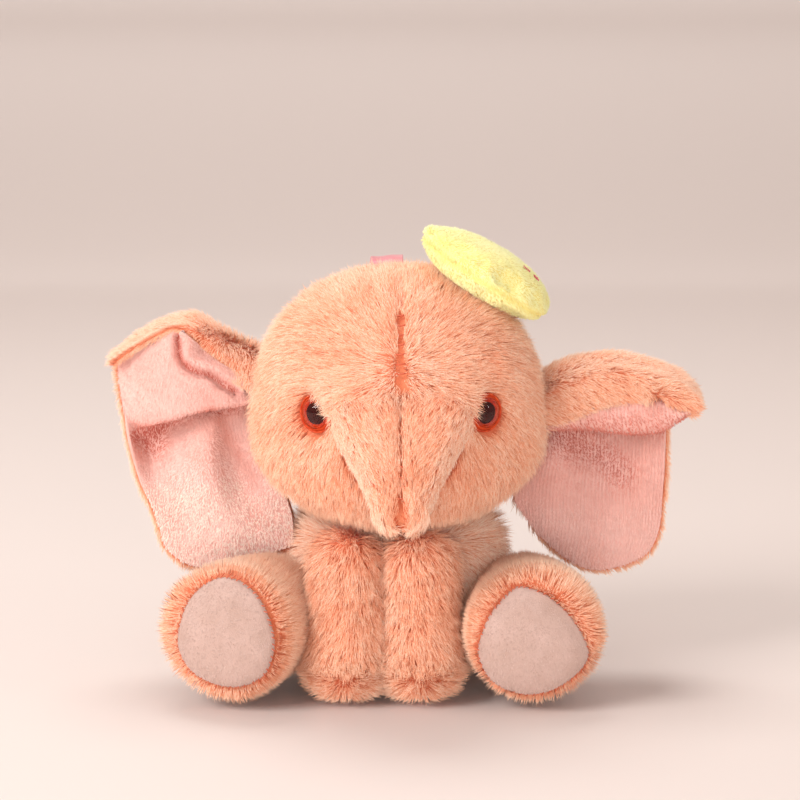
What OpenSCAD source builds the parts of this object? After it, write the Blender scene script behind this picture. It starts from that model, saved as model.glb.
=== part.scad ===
// Small sitting stuffed elephant: plush covers over stuffing, sewn together at seams that bend.
// Millimetres. +Z is up, the face looks along -Y, and the origin is on the floor under the seat.
// Left and right are the toy's own, so its left side is at +X.

/* [Fabric] */
// Thickness of the plush, backing and standing pile together
plush_t = 4; // [3:0.5:5]
// Thickness of the velour, velvet and fleece
velour_t = 1.5; // [1:0.5:2]
// Thickness of the stitching thread
thread_d = 0.8; // [0.6:0.1:1]
// Space between pieces that move against each other
move_gap = 0.4; // [0.3:0.1:0.6]
// Space between pieces that are held together
fit_gap = 0.05; // [0.02:0.01:0.1]

/* [Body] */
// Radius of the barrel shaped body
body_r = 34; // [32:0.5:35]
// Height of the body's top over the floor
body_h = 47.6; // [44:0.2:47.6]
// Radius of the flat that the body sits on
seat_r = 19; // [14:0.5:21]
// Distance of the body's middle behind the seat's middle
body_y = 8; // [7:0.5:9]
// Radius of the pellet bag in the seat
pellet_r = 17; // [12:1:18]

/* [Head] */
// Radius of the head at its cheeks
head_r = 43.5; // [42:0.5:44]
// Height of the cheeks over the floor
head_z = 80; // [80:0.5:82]
// Height of the crown over the cheeks
head_up = 47; // [44:0.5:48]
// Depth of the chin under the cheeks
head_down = 28.5; // [27:0.5:28.5]
// Place of the head's middle from side to side
head_x = 1.5; // [0:0.5:2]
// Place of the head's middle from front to back
head_y = -5; // [-6:0.5:-4]
// Radius of the stuffed neck ball
neck_r = 13; // [11:0.5:14]

/* [Trunk] */
// Radius of the trunk at its root
trunk_r = 16.5; // [15:0.5:17]
// Radius of the trunk's tip
trunk_tip_r = 6; // [5:0.5:7]
// Length of the trunk from its root to its tip
trunk_len = 31; // [26:1:33]
// Angle of the trunk below the level
trunk_drop = 39; // [36:1:42]

/* [Eyes] */
// Radius of an eye
eye_r = 5.8; // [5:0.2:6]
// Height of an eye's dome
eye_dome = 4.2; // [3.5:0.1:4.6]
// Angle of an eye from straight ahead
eye_side = 36; // [34:1:40]
// Height of the eyes over the floor
eye_z = 88; // [84:0.5:90]

/* [Ears] */
// Distance of an ear's hinge line from the head's middle
ear_root_x = 44.3; // [44.3:0.1:45]
// Radius of the roll that is sewn to the head
ear_root_r = 2.6; // [2:0.1:2.8]
// Depth of the flap that hangs over the left ear
left_flap = 15; // [8:1:18]
// Depth of the flap that is turned over on the right ear
right_flap = 4; // [2:1:10]

/* [Front legs] */
// Radius of a front leg
front_r = 9.6; // [9:0.2:9.6]
// Distance between the front legs' middles
front_gap = 22.6; // [21.4:0.1:23]
// Height of the shoulders over the floor
shoulder_z = 37; // [35:0.5:37]

/* [Hind legs] */
// Radius of a hind leg at the hip
hip_r = 17; // [15:0.5:17.5]
// Radius of a hind foot
foot_r = 19.3; // [17:0.1:19.3]
// Distance of a hip from the body's middle
hip_x = 39.5; // [39:0.5:41]
// Length of a hind leg from the hip to the rounded foot
hind_len = 31; // [28:0.5:32]
// Radius of a sole's pad
pad_r = 16; // [13:0.5:16.5]

/* [Trimmings] */
// Radius of the cap
cap_r = 21.5; // [18:0.5:22]
// Thickness of the cap
cap_t = 10; // [8:0.5:11]
// Width of the ribbon
ribbon_w = 10; // [6:1:12]
// Length of the ribbon's loop
loop_len = 15; // [10:1:18]
// Radius of the tail
tail_r = 3.2; // [3:0.1:4]
// Length of the tail
tail_len = 12; // [8:1:16]

/* [Hidden] */

LEFT = 1;
RIGHT = -1;
$fn = 72;
profile_steps = 36;

// How square the rounded shapes are: 2 is an ellipse
head_top_n = 2.2;
head_low_n = 2.6;
foot_n = 3;
cap_n = 2.4;

thread_r = thread_d / 2;
thread_rise = thread_r + fit_gap;
body_x = 1;
body_top_r = 20;
haunch_z = 16;
shoulder_low = 29;
corner_steps = 9;
pellet_z = 18;
pellet_flatness = 0.6;
back_seam_low = 25;
back_seam_step = 2.6;
back_seam_count = 5;
back_stitch_len = 3;
neck = [1.2, 0, 49.8];
gather_out = 1.6;
forehead_seam_low = 100.5;
forehead_seam_step = 2.5;
forehead_seam_count = 8;
face_turn = 1.5;
seam_stitch_len = 2.6;
seat_depth = 1.2;
post_r = 1.6;
washer_r = 5.4;
washer_t = 1.2;
washer_z = -plush_t - 1.3;
post_end = washer_z - washer_t - 1.2;
trunk_root = [head_x + 1, -41, 82];
trunk_dir = [0, -cos(trunk_drop), -sin(trunk_drop)];
trunk_seam_start = 11;
trunk_seam_step = 2.9;
trunk_seam_count = 7;
front_x = -3;
feet_x = -3.3;
shoulder_y = -26;
front_foot_y = -34;
front_foot_z = front_r + 1.5;
hip_y = -12;
hip_z = 20;
foot_x = 45.6;
foot_y = -42;
foot_z = 22.3;
foot_round = 9;
hip_space = 1.5;
pad_sink = 0.8;
pad_steps = 8;
ear_hinge_y = 2;
ear_root_low = 68;
ear_root_high = 95;
ear_fold_r = 7;
ear_fold_y = 1;
ear_slack = 1;
cap_side = 23;
cap_tilt = 3;
cap_rise = move_gap + 0.3;
mark_x = 14;
mark_y = -6;
mark_r = 1.2;
mark_bar = 2.4;
mark_step = 4.2;
loop_x = -2;
loop_back = 14;
loop_rise = 1.2;
loop_lean = 2;
loop_gap = 2.4;
ribbon_t = 0.6;
tail_root = [body_x, body_y + body_r + tail_r + move_gap, 19.5];
tail_lean = [0, 4, -12];
tail_taper = 0.8;
big = 200;

// The profile, from the axis outward, of a round shape with its own curve above and below its widest level
function egg(r, up, down, n_up, n_low) = [
    for (i = [0:profile_steps])
        let (a = -90 + 180 * i / profile_steps, n = a < 0 ? n_low : n_up, h = a < 0 ? -down : up)
            [r * pow(cos(a), 2 / n), h * pow(abs(sin(a)), 2 / n)]
];

// The profile of a limb: a ball at the origin, a straight side, and an end that a higher n makes blunt
function limb(r0, r1, len, round, n) = concat(
    [for (i = [0:profile_steps / 2]) let (a = -90 + 180 * i / profile_steps) [r0 * cos(a), r0 * sin(a)]],
    [for (i = [0:profile_steps / 2])
        let (a = 180 * i / profile_steps)
            [r1 * pow(cos(a), 2 / n), len + round * pow(sin(a), 2 / n)]]
);

// The head's radius at a height over the floor
function head_radius(z) =
    let (d = z - head_z, h = d < 0 ? head_down : head_up, n = d < 0 ? head_low_n : head_top_n)
        head_r * pow(1 - pow(abs(d) / h, n), 1 / n);

// A place over the head's surface at a height over the floor: distance from its axis, and height
function over_head(z, rise) =
    let (step = 0.5,
         slope = (head_radius(z + step) - head_radius(z - step)) / (2 * step),
         n = norm([1, slope]))
        [head_radius(z) + rise / n, z - rise * slope / n];

// The height of the head's crown at a distance from its axis
function crown_z(r) = head_z + head_up * pow(1 - pow(r / head_r, head_top_n), 1 / head_top_n);

module lathe(points) {
    rotate_extrude() polygon(points);
}

// Turns +Z to point from one place to another, with the origin at the first
module aim(from, to) {
    d = to - from;
    translate(from)
        rotate([0, acos(d[2] / norm(d)), atan2(d[1], d[0])])
            children();
}

module along_x(len, r) {
    rotate([0, 90, 0]) cylinder(h = len, r = r, center = true);
}

// ---- Body ----

// The body's profile, from the axis outward: seat, rounded haunches, side, rounded shoulders, flat top
function body_profile(inset) =
    let (seat_corner = body_r - seat_r - inset, top_corner = body_r - body_top_r - inset)
    concat(
        [[0, inset]],
        [for (i = [0:corner_steps])
            let (a = 90 * i / corner_steps)
                [seat_r + seat_corner * sin(a), haunch_z - (haunch_z - inset) * cos(a)]],
        [for (i = [0:corner_steps])
            let (a = 90 * i / corner_steps)
                [body_top_r + top_corner * cos(a), shoulder_low + (body_h - shoulder_low - inset) * sin(a)]],
        [[0, body_h - inset]]
    );

// The body's radius at a height over its haunches
function body_radius(z) =
    let (rise = max(0, z - shoulder_low) / (body_h - shoulder_low))
        body_top_r + (body_r - body_top_r) * sqrt(1 - rise * rise);

module body_form(inset) {
    translate([body_x, body_y, 0]) lathe(body_profile(inset));
}

// What the parts that are joined to the body take out of it
module body_sockets() {
    translate(neck) sphere(neck_r + move_gap);
    for (side = [LEFT, RIGHT]) {
        translate(hip(side)) sphere(hip_r + hip_space);
        front_leg_form(side, -move_gap);
    }
}

module pellets(r) {
    translate([body_x, body_y, pellet_z]) scale([1, 1, pellet_flatness]) sphere(r);
}

module body_cover() {
    color("salmon") difference() {
        body_form(0);
        body_form(plush_t);
        body_sockets();
    }
}

module body_stuffing() {
    color("ivory") difference() {
        body_form(plush_t + fit_gap);
        body_sockets();
        pellets(pellet_r + fit_gap);
    }
}

module pellet_bag() {
    color("lightgray") pellets(pellet_r);
}

// The ladder stitches that close the body, up the middle of its back
module back_stitches() {
    color("orangered")
        for (i = [0:back_seam_count - 1])
            let (z = back_seam_low + i * back_seam_step)
                translate([body_x, body_y + body_radius(z) + thread_rise, z])
                    along_x(back_stitch_len, thread_r);
}

module neck_stuffing() {
    color("ivory") translate(neck) sphere(neck_r);
}

// ---- Head ----

module head_form(inset) {
    translate([head_x, head_y, head_z])
        lathe(egg(head_r - inset, head_up - inset, head_down - inset, head_top_n, head_low_n));
}

// Puts +Z along an eye's outward direction, with the origin on the head
module at_eye(side) {
    r = head_radius(eye_z);
    turn = side * eye_side + face_turn;
    translate([head_x + r * sin(turn), head_y - r * cos(turn), eye_z])
        rotate([90, 0, turn])
            children();
}

module head_sockets() {
    translate(neck) sphere(neck_r + move_gap);
    translate(trunk_root) sphere(trunk_r + move_gap);
    aim(trunk_root, trunk_root + trunk_dir)
        cylinder(h = trunk_len, r1 = trunk_r + move_gap, r2 = trunk_tip_r + move_gap);
    for (side = [LEFT, RIGHT]) {
        translate([head_x + side * ear_root_x, ear_hinge_y, 0])
            cylinder(h = big, r = ear_root_r + move_gap);
        at_eye(side) {
            translate([0, 0, -seat_depth - fit_gap]) cylinder(h = big, r = eye_r + fit_gap);
            translate([0, 0, post_end - fit_gap]) cylinder(h = big, r = post_r + fit_gap);
        }
    }
}

module head_cover() {
    color("salmon") difference() {
        head_form(0);
        head_form(plush_t);
        head_sockets();
    }
}

module head_stuffing() {
    color("ivory") difference() {
        head_form(plush_t + fit_gap);
        head_sockets();
        for (side = [LEFT, RIGHT])
            at_eye(side)
                translate([0, 0, washer_z - washer_t - fit_gap])
                    cylinder(h = big, r = washer_r + fit_gap);
    }
}

// Ladder stitches down the middle of the forehead
module forehead_stitches() {
    color("orangered")
        for (i = [0:forehead_seam_count - 1])
            let (place = over_head(forehead_seam_low + i * forehead_seam_step, thread_rise + fit_gap))
                translate([head_x, head_y - place[0], place[1]])
                    along_x(seam_stitch_len, thread_r);
}

// The thread that gathers the head's opening around the neck
module neck_gather_thread() {
    color("orangered") translate([neck[0], neck[1], head_z - head_down - thread_rise])
        rotate_extrude() translate([neck_r + gather_out, 0]) circle(thread_r, $fn = 16);
}

module eye(side) {
    ball_r = (eye_r * eye_r + eye_dome * eye_dome) / (2 * eye_dome);
    color("firebrick") at_eye(side) {
        intersection() {
            translate([0, 0, eye_dome - ball_r]) sphere(ball_r);
            cylinder(h = big, r = eye_r);
        }
        translate([0, 0, -seat_depth]) cylinder(h = seat_depth, r = eye_r);
        translate([0, 0, post_end]) cylinder(h = -post_end - seat_depth, r = post_r);
    }
}

module eye_washers() {
    color("white")
        for (side = [LEFT, RIGHT])
            at_eye(side)
                translate([0, 0, washer_z - washer_t])
                    difference() {
                        cylinder(h = washer_t, r = washer_r);
                        cylinder(h = big, r = post_r + fit_gap, center = true);
                    }
}

// ---- Trunk ----

module trunk_form(inset) {
    aim(trunk_root, trunk_root + trunk_dir)
        lathe(limb(trunk_r - inset, trunk_tip_r - inset, trunk_len, trunk_tip_r - inset, 2));
}

module trunk_cover() {
    color("salmon") difference() {
        trunk_form(0);
        trunk_form(plush_t);
    }
}

module trunk_stuffing() {
    color("ivory") trunk_form(plush_t + fit_gap);
}

// Ladder stitches down the trunk's upper side
module trunk_stitches() {
    slope = (trunk_r - trunk_tip_r) / trunk_len;
    color("orangered") aim(trunk_root, trunk_root + trunk_dir)
        for (i = [0:trunk_seam_count - 1])
            let (s = trunk_seam_start + i * trunk_seam_step)
                translate([slope * s - trunk_r - thread_rise - 2 * fit_gap, 0, s])
                    rotate([90, 0, 0])
                        cylinder(h = seam_stitch_len, r = thread_r, center = true);
}

// ---- Ears ----

// Corners of an ear seen from the front: distance out from the hinge line, and height over the floor
left_ear_edge = [
    [1, 66], [1, 96], [20, 99], [36, 98], [44, 92], [44.5, 86], [42, 80],
    [37, 76], [36.5, 44], [33, 36.5], [25, 33], [13, 33.5], [4, 40], [-5, 50], [-7.5, 56], [-4, 64]
];
right_ear_edge = [
    [1, 66], [1, 99], [12, 107], [24, 110], [33, 107], [40, 99], [40, 92],
    [38, 78], [34, 58], [30, 44], [25, 36], [12, 37], [-2, 40], [-9, 44], [-10, 52], [-4, 64]
];
ear_top = [[LEFT, 99], [RIGHT, 110]];
flap_start = 4;

// A sheet of the ear, between two distances from the fold's middle, seen from the side
module ear_section(inner, outer, top, flap) {
    low = 30;
    mid = top - ear_fold_r;
    translate([ear_fold_y, 0]) {
        translate([0, mid]) intersection() {
            difference() {
                circle(outer);
                circle(inner);
            }
            translate([-big / 2, 0]) square([big, big / 2]);
        }
        translate([inner, low]) square([outer - inner, mid - low]);
        translate([-outer, mid - flap]) square([outer - inner, flap]);
    }
}

module ear_sheet(side, edge, inner, outer, top, flap) {
    translate([head_x + side * ear_root_x, 0, 0])
        intersection() {
            rotate([90, 0, 90])
                translate([0, 0, -big / 2])
                    linear_extrude(big)
                        ear_section(inner, outer, top, flap);
            mirror([side == LEFT ? 0 : 1, 0, 0])
                rotate([90, 0, 0])
                    translate([0, 0, -big / 2])
                        linear_extrude(big)
                            polygon(edge);
            union() {
                mirror([side == LEFT ? 0 : 1, 0, 0])
                    translate([flap_start, -big / 2, 0]) cube(big);
                translate([-big / 2, ear_fold_y + ear_slack, 0]) cube(big);
            }
        }
}

module ear_root(side) {
    translate([head_x + side * ear_root_x, ear_hinge_y, ear_root_low])
        cylinder(h = ear_root_high - ear_root_low, r = ear_root_r);
}

module ear_back(side, edge, top, flap) {
    color("salmon") {
        ear_sheet(side, edge, ear_slack + velour_t + fit_gap, ear_fold_r, top, flap);
        difference() {
            ear_root(side);
            ear_sheet(side, edge, 0, ear_slack + velour_t + fit_gap, top, flap);
        }
    }
}

module ear_lining(side, edge, top, flap) {
    color("mistyrose") ear_sheet(side, edge, ear_slack, ear_slack + velour_t, top, flap);
}

module ear_left_back() {
    ear_back(LEFT, left_ear_edge, ear_top[0][1], left_flap);
}

module ear_left_lining() {
    ear_lining(LEFT, left_ear_edge, ear_top[0][1], left_flap);
}

module ear_right_back() {
    ear_back(RIGHT, right_ear_edge, ear_top[1][1], right_flap);
}

module ear_right_lining() {
    ear_lining(RIGHT, right_ear_edge, ear_top[1][1], right_flap);
}

// ---- Front legs ----

function shoulder(side) = [front_x + side * front_gap / 2, shoulder_y, shoulder_z];
function front_foot(side) = [front_x + side * front_gap / 2, front_foot_y, front_foot_z];

module front_leg_form(side, inset) {
    top = shoulder(side);
    foot = front_foot(side);
    aim(top, foot)
        lathe(limb(front_r - inset, front_r - inset, norm(foot - top), front_r - inset, 2));
}

module front_leg_cover(side) {
    color("salmon") difference() {
        front_leg_form(side, 0);
        front_leg_form(side, plush_t);
    }
}

module front_leg_left_cover() {
    front_leg_cover(LEFT);
}

module front_leg_right_cover() {
    front_leg_cover(RIGHT);
}

module front_leg_left_stuffing() {
    color("ivory") front_leg_form(LEFT, plush_t + fit_gap);
}

module front_leg_right_stuffing() {
    color("ivory") front_leg_form(RIGHT, plush_t + fit_gap);
}

// ---- Hind legs ----

function hip(side) = [body_x + side * hip_x, hip_y, hip_z];
function foot(side) = [feet_x + side * foot_x, foot_y, foot_z];

module at_hind_leg(side) {
    aim(hip(side), foot(side)) children();
}

module hind_leg_form(inset) {
    lathe(limb(hip_r - inset, foot_r - inset, hind_len, foot_round - inset, foot_n));
}

// Distance of the blunt end's surface from the hip, at a distance from the leg's axis
function sole_surface(r) = hind_len + foot_round * pow(1 - pow(r / foot_r, foot_n), 1 / foot_n);

// The sole's pad: a cap of velvet let into the leg's end
module pad_form(extra) {
    r = pad_r + extra;
    lathe(concat(
        [for (i = [0:pad_steps]) let (x = r * i / pad_steps) [x, sole_surface(x) - pad_sink - extra]],
        [for (i = [pad_steps:-1:0]) let (x = r * i / pad_steps) [x, sole_surface(x) + velour_t - pad_sink]]
    ));
}

module sole_stitching(extra) {
    r = pad_r + thread_d;
    translate([0, 0, sole_surface(r)])
        rotate_extrude() translate([r, 0]) circle(thread_r + extra, $fn = 16);
}

module hind_leg_cover(side) {
    color("salmon") at_hind_leg(side) difference() {
        hind_leg_form(0);
        hind_leg_form(plush_t);
        pad_form(fit_gap);
        sole_stitching(fit_gap);
    }
}

module hind_leg_stuffing(side) {
    color("ivory") at_hind_leg(side) hind_leg_form(plush_t + fit_gap);
}

module sole_pad(side) {
    color("linen") at_hind_leg(side) pad_form(0);
}

module sole_stitches(side) {
    color("orangered") at_hind_leg(side) sole_stitching(0);
}

module hind_leg_left_cover() {
    hind_leg_cover(LEFT);
}

module hind_leg_right_cover() {
    hind_leg_cover(RIGHT);
}

module hind_leg_left_stuffing() {
    hind_leg_stuffing(LEFT);
}

module hind_leg_right_stuffing() {
    hind_leg_stuffing(RIGHT);
}

module sole_pad_left() {
    sole_pad(LEFT);
}

module sole_pad_right() {
    sole_pad(RIGHT);
}

module sole_stitches_left() {
    sole_stitches(LEFT);
}

module sole_stitches_right() {
    sole_stitches(RIGHT);
}

// ---- Tail, cap and ribbon ----

module tail() {
    tip_r = tail_r * tail_taper;
    color("salmon") aim(tail_root, tail_root + tail_lean)
        lathe(limb(tail_r, tip_r, tail_len, tip_r, 2));
}

// Puts +Z along the crown's outward direction under the cap
module at_cap() {
    rise = crown_z(cap_side) - head_z;
    lean = atan2(pow(cap_side, head_top_n - 1) / pow(head_r, head_top_n),
                 pow(rise, head_top_n - 1) / pow(head_up, head_top_n));
    translate([head_x + cap_side, head_y, head_z + rise])
        rotate([0, lean + cap_tilt, 0])
            translate([0, 0, cap_t / 2 + cap_rise])
                children();
}

function cap_profile(inset) =
    egg(cap_r - inset, cap_t / 2 - inset, cap_t / 2 - inset, cap_n, cap_n);

// The height of the cap's upper side over its middle plane, at a distance from its axis
function cap_height(r) = (cap_t / 2) * pow(1 - pow(r / cap_r, cap_n), 1 / cap_n);

// One half of the cap's cover, above or below the seam: what lies between the outer and inner profile
module cap_panel(up) {
    half = profile_steps / 2;
    order = up ? [half:profile_steps] : [0:half];
    outer = cap_profile(0);
    inner = cap_profile(velour_t);
    last = up ? profile_steps : half;
    first = up ? half : 0;
    color("khaki") at_cap()
        lathe(concat([for (i = order) outer[i]], [for (i = order) inner[last + first - i]]));
}

module cap_upper_panel() {
    cap_panel(true);
}

module cap_lower_panel() {
    cap_panel(false);
}

module cap_stuffing() {
    color("ivory") at_cap() lathe(cap_profile(velour_t + fit_gap));
}

// A small generic mark on the cap: one round knot and one short bar
module cap_embroidery() {
    bar_x = mark_x - mark_step;
    color("hotpink") at_cap() {
        translate([mark_x, mark_y, cap_height(norm([mark_x, mark_y]) - mark_r) + fit_gap])
            cylinder(h = thread_d, r = mark_r);
        translate([bar_x, mark_y, cap_height(norm([bar_x - mark_bar / 2, mark_y]) - thread_r) + thread_rise])
            along_x(mark_bar, thread_r);
    }
}

// The loop's profile, seen from its side: two straight runs that meet in a round bend at each end
module loop_side(half) {
    for (x = [0, loop_len]) translate([x, 0]) circle(half);
    translate([0, -half]) square([loop_len, 2 * half]);
}

module ribbon_loop() {
    inner = loop_gap / 2;
    foot_y = head_y + loop_back;
    translate([loop_x, foot_y, crown_z(loop_back) + loop_rise])
        rotate([loop_lean, 0, 0])
            translate([-ribbon_w / 2, 0, inner + ribbon_t])
                rotate([90, 0, 90])
                    color("lightpink") linear_extrude(ribbon_w)
                        difference() {
                            loop_side(inner + ribbon_t);
                            loop_side(inner);
                        }
}

body_cover();
body_stuffing();
pellet_bag();
back_stitches();
neck_stuffing();
head_cover();
head_stuffing();
forehead_stitches();
neck_gather_thread();
eye(LEFT);  // eye_left
eye(RIGHT);  // eye_right
eye_washers();
trunk_cover();
trunk_stuffing();
trunk_stitches();
ear_left_back();
ear_left_lining();
ear_right_back();
ear_right_lining();
front_leg_left_cover();
front_leg_left_stuffing();
front_leg_right_cover();
front_leg_right_stuffing();
hind_leg_left_cover();
hind_leg_left_stuffing();
sole_pad_left();
sole_stitches_left();
hind_leg_right_cover();
hind_leg_right_stuffing();
sole_pad_right();
sole_stitches_right();
tail();
cap_upper_panel();
cap_lower_panel();
cap_stuffing();
cap_embroidery();
ribbon_loop();
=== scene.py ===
import math

import bpy
import numpy as np
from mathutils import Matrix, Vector
from mathutils.kdtree import KDTree


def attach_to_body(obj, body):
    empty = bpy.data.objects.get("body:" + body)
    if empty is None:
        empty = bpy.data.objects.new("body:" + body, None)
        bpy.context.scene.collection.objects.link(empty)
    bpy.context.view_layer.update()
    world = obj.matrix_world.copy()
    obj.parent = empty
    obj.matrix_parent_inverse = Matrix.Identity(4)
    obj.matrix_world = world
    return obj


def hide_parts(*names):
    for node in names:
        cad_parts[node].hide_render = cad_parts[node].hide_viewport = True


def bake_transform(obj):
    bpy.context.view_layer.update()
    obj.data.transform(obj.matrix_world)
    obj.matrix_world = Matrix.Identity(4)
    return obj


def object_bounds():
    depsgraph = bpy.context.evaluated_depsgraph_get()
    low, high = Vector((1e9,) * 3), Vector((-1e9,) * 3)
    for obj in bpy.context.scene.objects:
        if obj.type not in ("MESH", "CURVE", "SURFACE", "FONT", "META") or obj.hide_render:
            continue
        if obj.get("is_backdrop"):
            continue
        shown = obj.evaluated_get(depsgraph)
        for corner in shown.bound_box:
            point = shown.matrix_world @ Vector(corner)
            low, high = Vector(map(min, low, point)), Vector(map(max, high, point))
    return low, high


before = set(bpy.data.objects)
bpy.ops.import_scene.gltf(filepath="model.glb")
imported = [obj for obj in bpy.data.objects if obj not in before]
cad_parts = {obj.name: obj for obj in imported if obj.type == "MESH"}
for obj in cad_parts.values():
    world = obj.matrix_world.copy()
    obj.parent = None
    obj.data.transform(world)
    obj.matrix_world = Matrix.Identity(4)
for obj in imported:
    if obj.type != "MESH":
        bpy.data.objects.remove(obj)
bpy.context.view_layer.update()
MM = 0.001
# the share of each coat's strands that is grown, and the most strands that one piece holds
FUR_SHARE = 0.8
MOST_STRANDS = 38000


# ---------------- numbers

def unit(v):
    return v / np.maximum(np.linalg.norm(v, axis=-1, keepdims=True), 1e-9)


def ease(low, high, x):
    t = np.clip((x - low) / (high - low), 0, 1)
    return t * t * (3 - 2 * t)


def bump(x, middle, width):
    return np.exp(-(((x - middle) / width) ** 2))


def between(a, b, c, d, f):
    """The point at share f of the way from b to c, on a smooth line through all four."""
    return 0.5 * (2 * b + (c - a) * f + (2 * a - 5 * b + 4 * c - d) * f**2 + (3 * b - a - 3 * c + d) * f**3)


def through(points, count):
    """A smooth line, or a sheet of them, through the given points."""
    p = np.asarray(points, float)
    ends = np.concatenate([2 * p[:1] - p[1:2], p, 2 * p[-1:] - p[-2:-1]])
    t = np.linspace(0, len(p) - 1, count)
    i = np.minimum(t.astype(int), len(p) - 2)
    f = (t - i).reshape((-1,) + (1,) * (p.ndim - 1))
    return between(ends[i], ends[i + 1], ends[i + 2], ends[i + 3], f)


def loop_through(points, count):
    """A smooth closed line through the given points."""
    p = np.asarray(points, float)
    n = len(p)
    t = np.arange(count) * n / count
    i = t.astype(int)
    f = (t - i)[:, None]
    return between(p[(i - 1) % n], p[i % n], p[(i + 1) % n], p[(i + 2) % n], f)


def patch(control, rows, columns):
    """A dense grid of points through a coarse one."""
    g = through(control, rows)
    return through(g.transpose(1, 0, 2), columns).transpose(1, 0, 2)


def noise(points, size, seed):
    """Smooth noise from -1 to 1."""
    q = points / size + 100.0
    cell = np.floor(q).astype(np.int64)
    f = q - cell
    f = f * f * (3 - 2 * f)
    total = np.zeros(len(points))
    for dx in (0, 1):
        for dy in (0, 1):
            for dz in (0, 1):
                h = (cell[:, 0] + dx) * 73856093 ^ (cell[:, 1] + dy) * 19349663 ^ (cell[:, 2] + dz) * 83492791
                h = (h ^ (seed * 7919)) & 0x7FFFFFFF
                h = ((h ^ (h >> 13)) * 1274126177) & 0x7FFFFFFF
                h = h ^ (h >> 16)
                w = (f[:, 0] if dx else 1 - f[:, 0]) * (f[:, 1] if dy else 1 - f[:, 1])
                total += w * (f[:, 2] if dz else 1 - f[:, 2]) * ((h & 0xFFFF) / 32767.5 - 1)
    return total


def gather(points, size, seed):
    """Vectors that lead to the nearest lock of fur."""
    e = size * 0.25
    out = np.zeros_like(points)
    for k in range(3):
        step = np.zeros(3)
        step[k] = e
        out[:, k] = noise(points + step, size, seed) - noise(points - step, size, seed)
    return out


def distance_to_line(points, line):
    """Distance to a polyline in a plane, with its sign: above 0 on its left."""
    best = np.full(len(points), 1e9)
    sign = np.ones(len(points))
    for a, b in zip(line[:-1], line[1:]):
        d = b - a
        t = np.clip(((points - a) @ d) / (d @ d), 0, 1)
        gap = points - (a + t[:, None] * d)
        r = np.linalg.norm(gap, axis=1)
        near = r < best
        best = np.where(near, r, best)
        sign = np.where(near, np.sign(d[0] * gap[:, 1] - d[1] * gap[:, 0]), sign)
    return best * sign


# ---------------- the part's own numbers, in mm

HEAD = np.array([1.5, -5.0, 80.0])
HEAD_R, HEAD_UP, HEAD_DOWN = 43.5, 47.0, 28.5
BODY = np.array([1.0, 8.0, 0.0])
BODY_R, BODY_HEIGHT = 34, 47.6
SEAT_R, SEAT_Z, TOP_R, TOP_Z = 19, 16, 20, 29
NECK, NECK_R = np.array([1.2, 0, 49.8]), 12.4
TRUNK = np.array([2.5, -41.0, 82.0])
TRUNK_DIR = np.array([0, -math.cos(math.radians(39)), -math.sin(math.radians(39))])
TRUNK_UP = np.array([0, -math.sin(math.radians(39)), math.cos(math.radians(39))])
HIP = {"left": np.array([40.5, -12.0, 20.0]), "right": np.array([-38.5, -12.0, 20.0])}
FOOT = {"left": np.array([42.3, -42.0, 22.3]), "right": np.array([-48.9, -42.0, 22.3])}
SHOULDER = {"left": np.array([8.3, -26.0, 37.0]), "right": np.array([-14.3, -26.0, 37.0])}
FRONT_FOOT = {"left": np.array([8.3, -34.0, 11.1]), "right": np.array([-14.3, -34.0, 11.1])}
FRONT_LEG_R = 9.6
HIND_R, HIND_SOLE_R, HIND_LENGTH, HIND_CAP = 17, 19.3, 31.0, 9
EYE_TURN = {"left": 37.5, "right": -34.5}
EYE_Z, EYE_R, EYE_DOME = 88.0, 5.8, 3.3
SIGN = {"left": 1, "right": -1}


def head_radius(z):
    d = np.asarray(z, float) - HEAD[2]
    h = np.where(d < 0, HEAD_DOWN, HEAD_UP)
    n = np.where(d < 0, 2.6, 2.2)
    return HEAD_R * np.maximum(1 - np.minimum(np.abs(d) / h, 1) ** n, 0) ** (1 / n)


def eye_axes(side):
    """An eye's place on the head, and its outward, sideways and upward directions."""
    r, t = float(head_radius(EYE_Z)), math.radians(EYE_TURN[side])
    out = np.array([math.sin(t), -math.cos(t), 0])
    place = np.array([HEAD[0] + r * math.sin(t), HEAD[1] - r * math.cos(t), EYE_Z])
    return place, out, np.array([math.cos(t), math.sin(t), 0]), np.array([0, 0, 1.0])


# ---------------- meshes

class Skin:
    """A surface made of quads, with its own normals, built from a grid of points."""

    def __init__(self, grid, closed=False, flip=False):
        rows, columns = grid.shape[:2]
        wide = columns if closed else columns - 1
        r, c = [x.ravel() for x in np.meshgrid(np.arange(rows - 1), np.arange(wide), indexing="ij")]
        corner_r = np.stack([r, r, r + 1, r + 1], 1)
        corner_c = np.stack([c, c + 1, c + 1, c], 1)
        if flip:
            corner_r, corner_c = corner_r[:, ::-1], corner_c[:, ::-1]
        self.points = grid.reshape(-1, 3).copy()
        self.quads = corner_r * columns + corner_c % columns
        self.uv = np.stack([0.01 + 0.98 * corner_c / wide, 0.01 + 0.98 * corner_r / (rows - 1)], -1)
        self.refresh()

    def refresh(self):
        p, q = self.points, self.quads
        face = np.cross(p[q[:, 2]] - p[q[:, 0]], p[q[:, 3]] - p[q[:, 1]])
        total = np.zeros_like(p)
        for k in range(4):
            np.add.at(total, q[:, k], face)
        self.normals = unit(total)

    def push(self, amount):
        self.points += self.normals * np.asarray(amount)[:, None]
        self.refresh()
        return self


def facing(grid, way):
    """The same grid, turned over if need be so that its front faces the given way."""
    return grid if (Skin(grid).normals @ np.asarray(way, float)).mean() > 0 else grid[:, ::-1]


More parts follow.
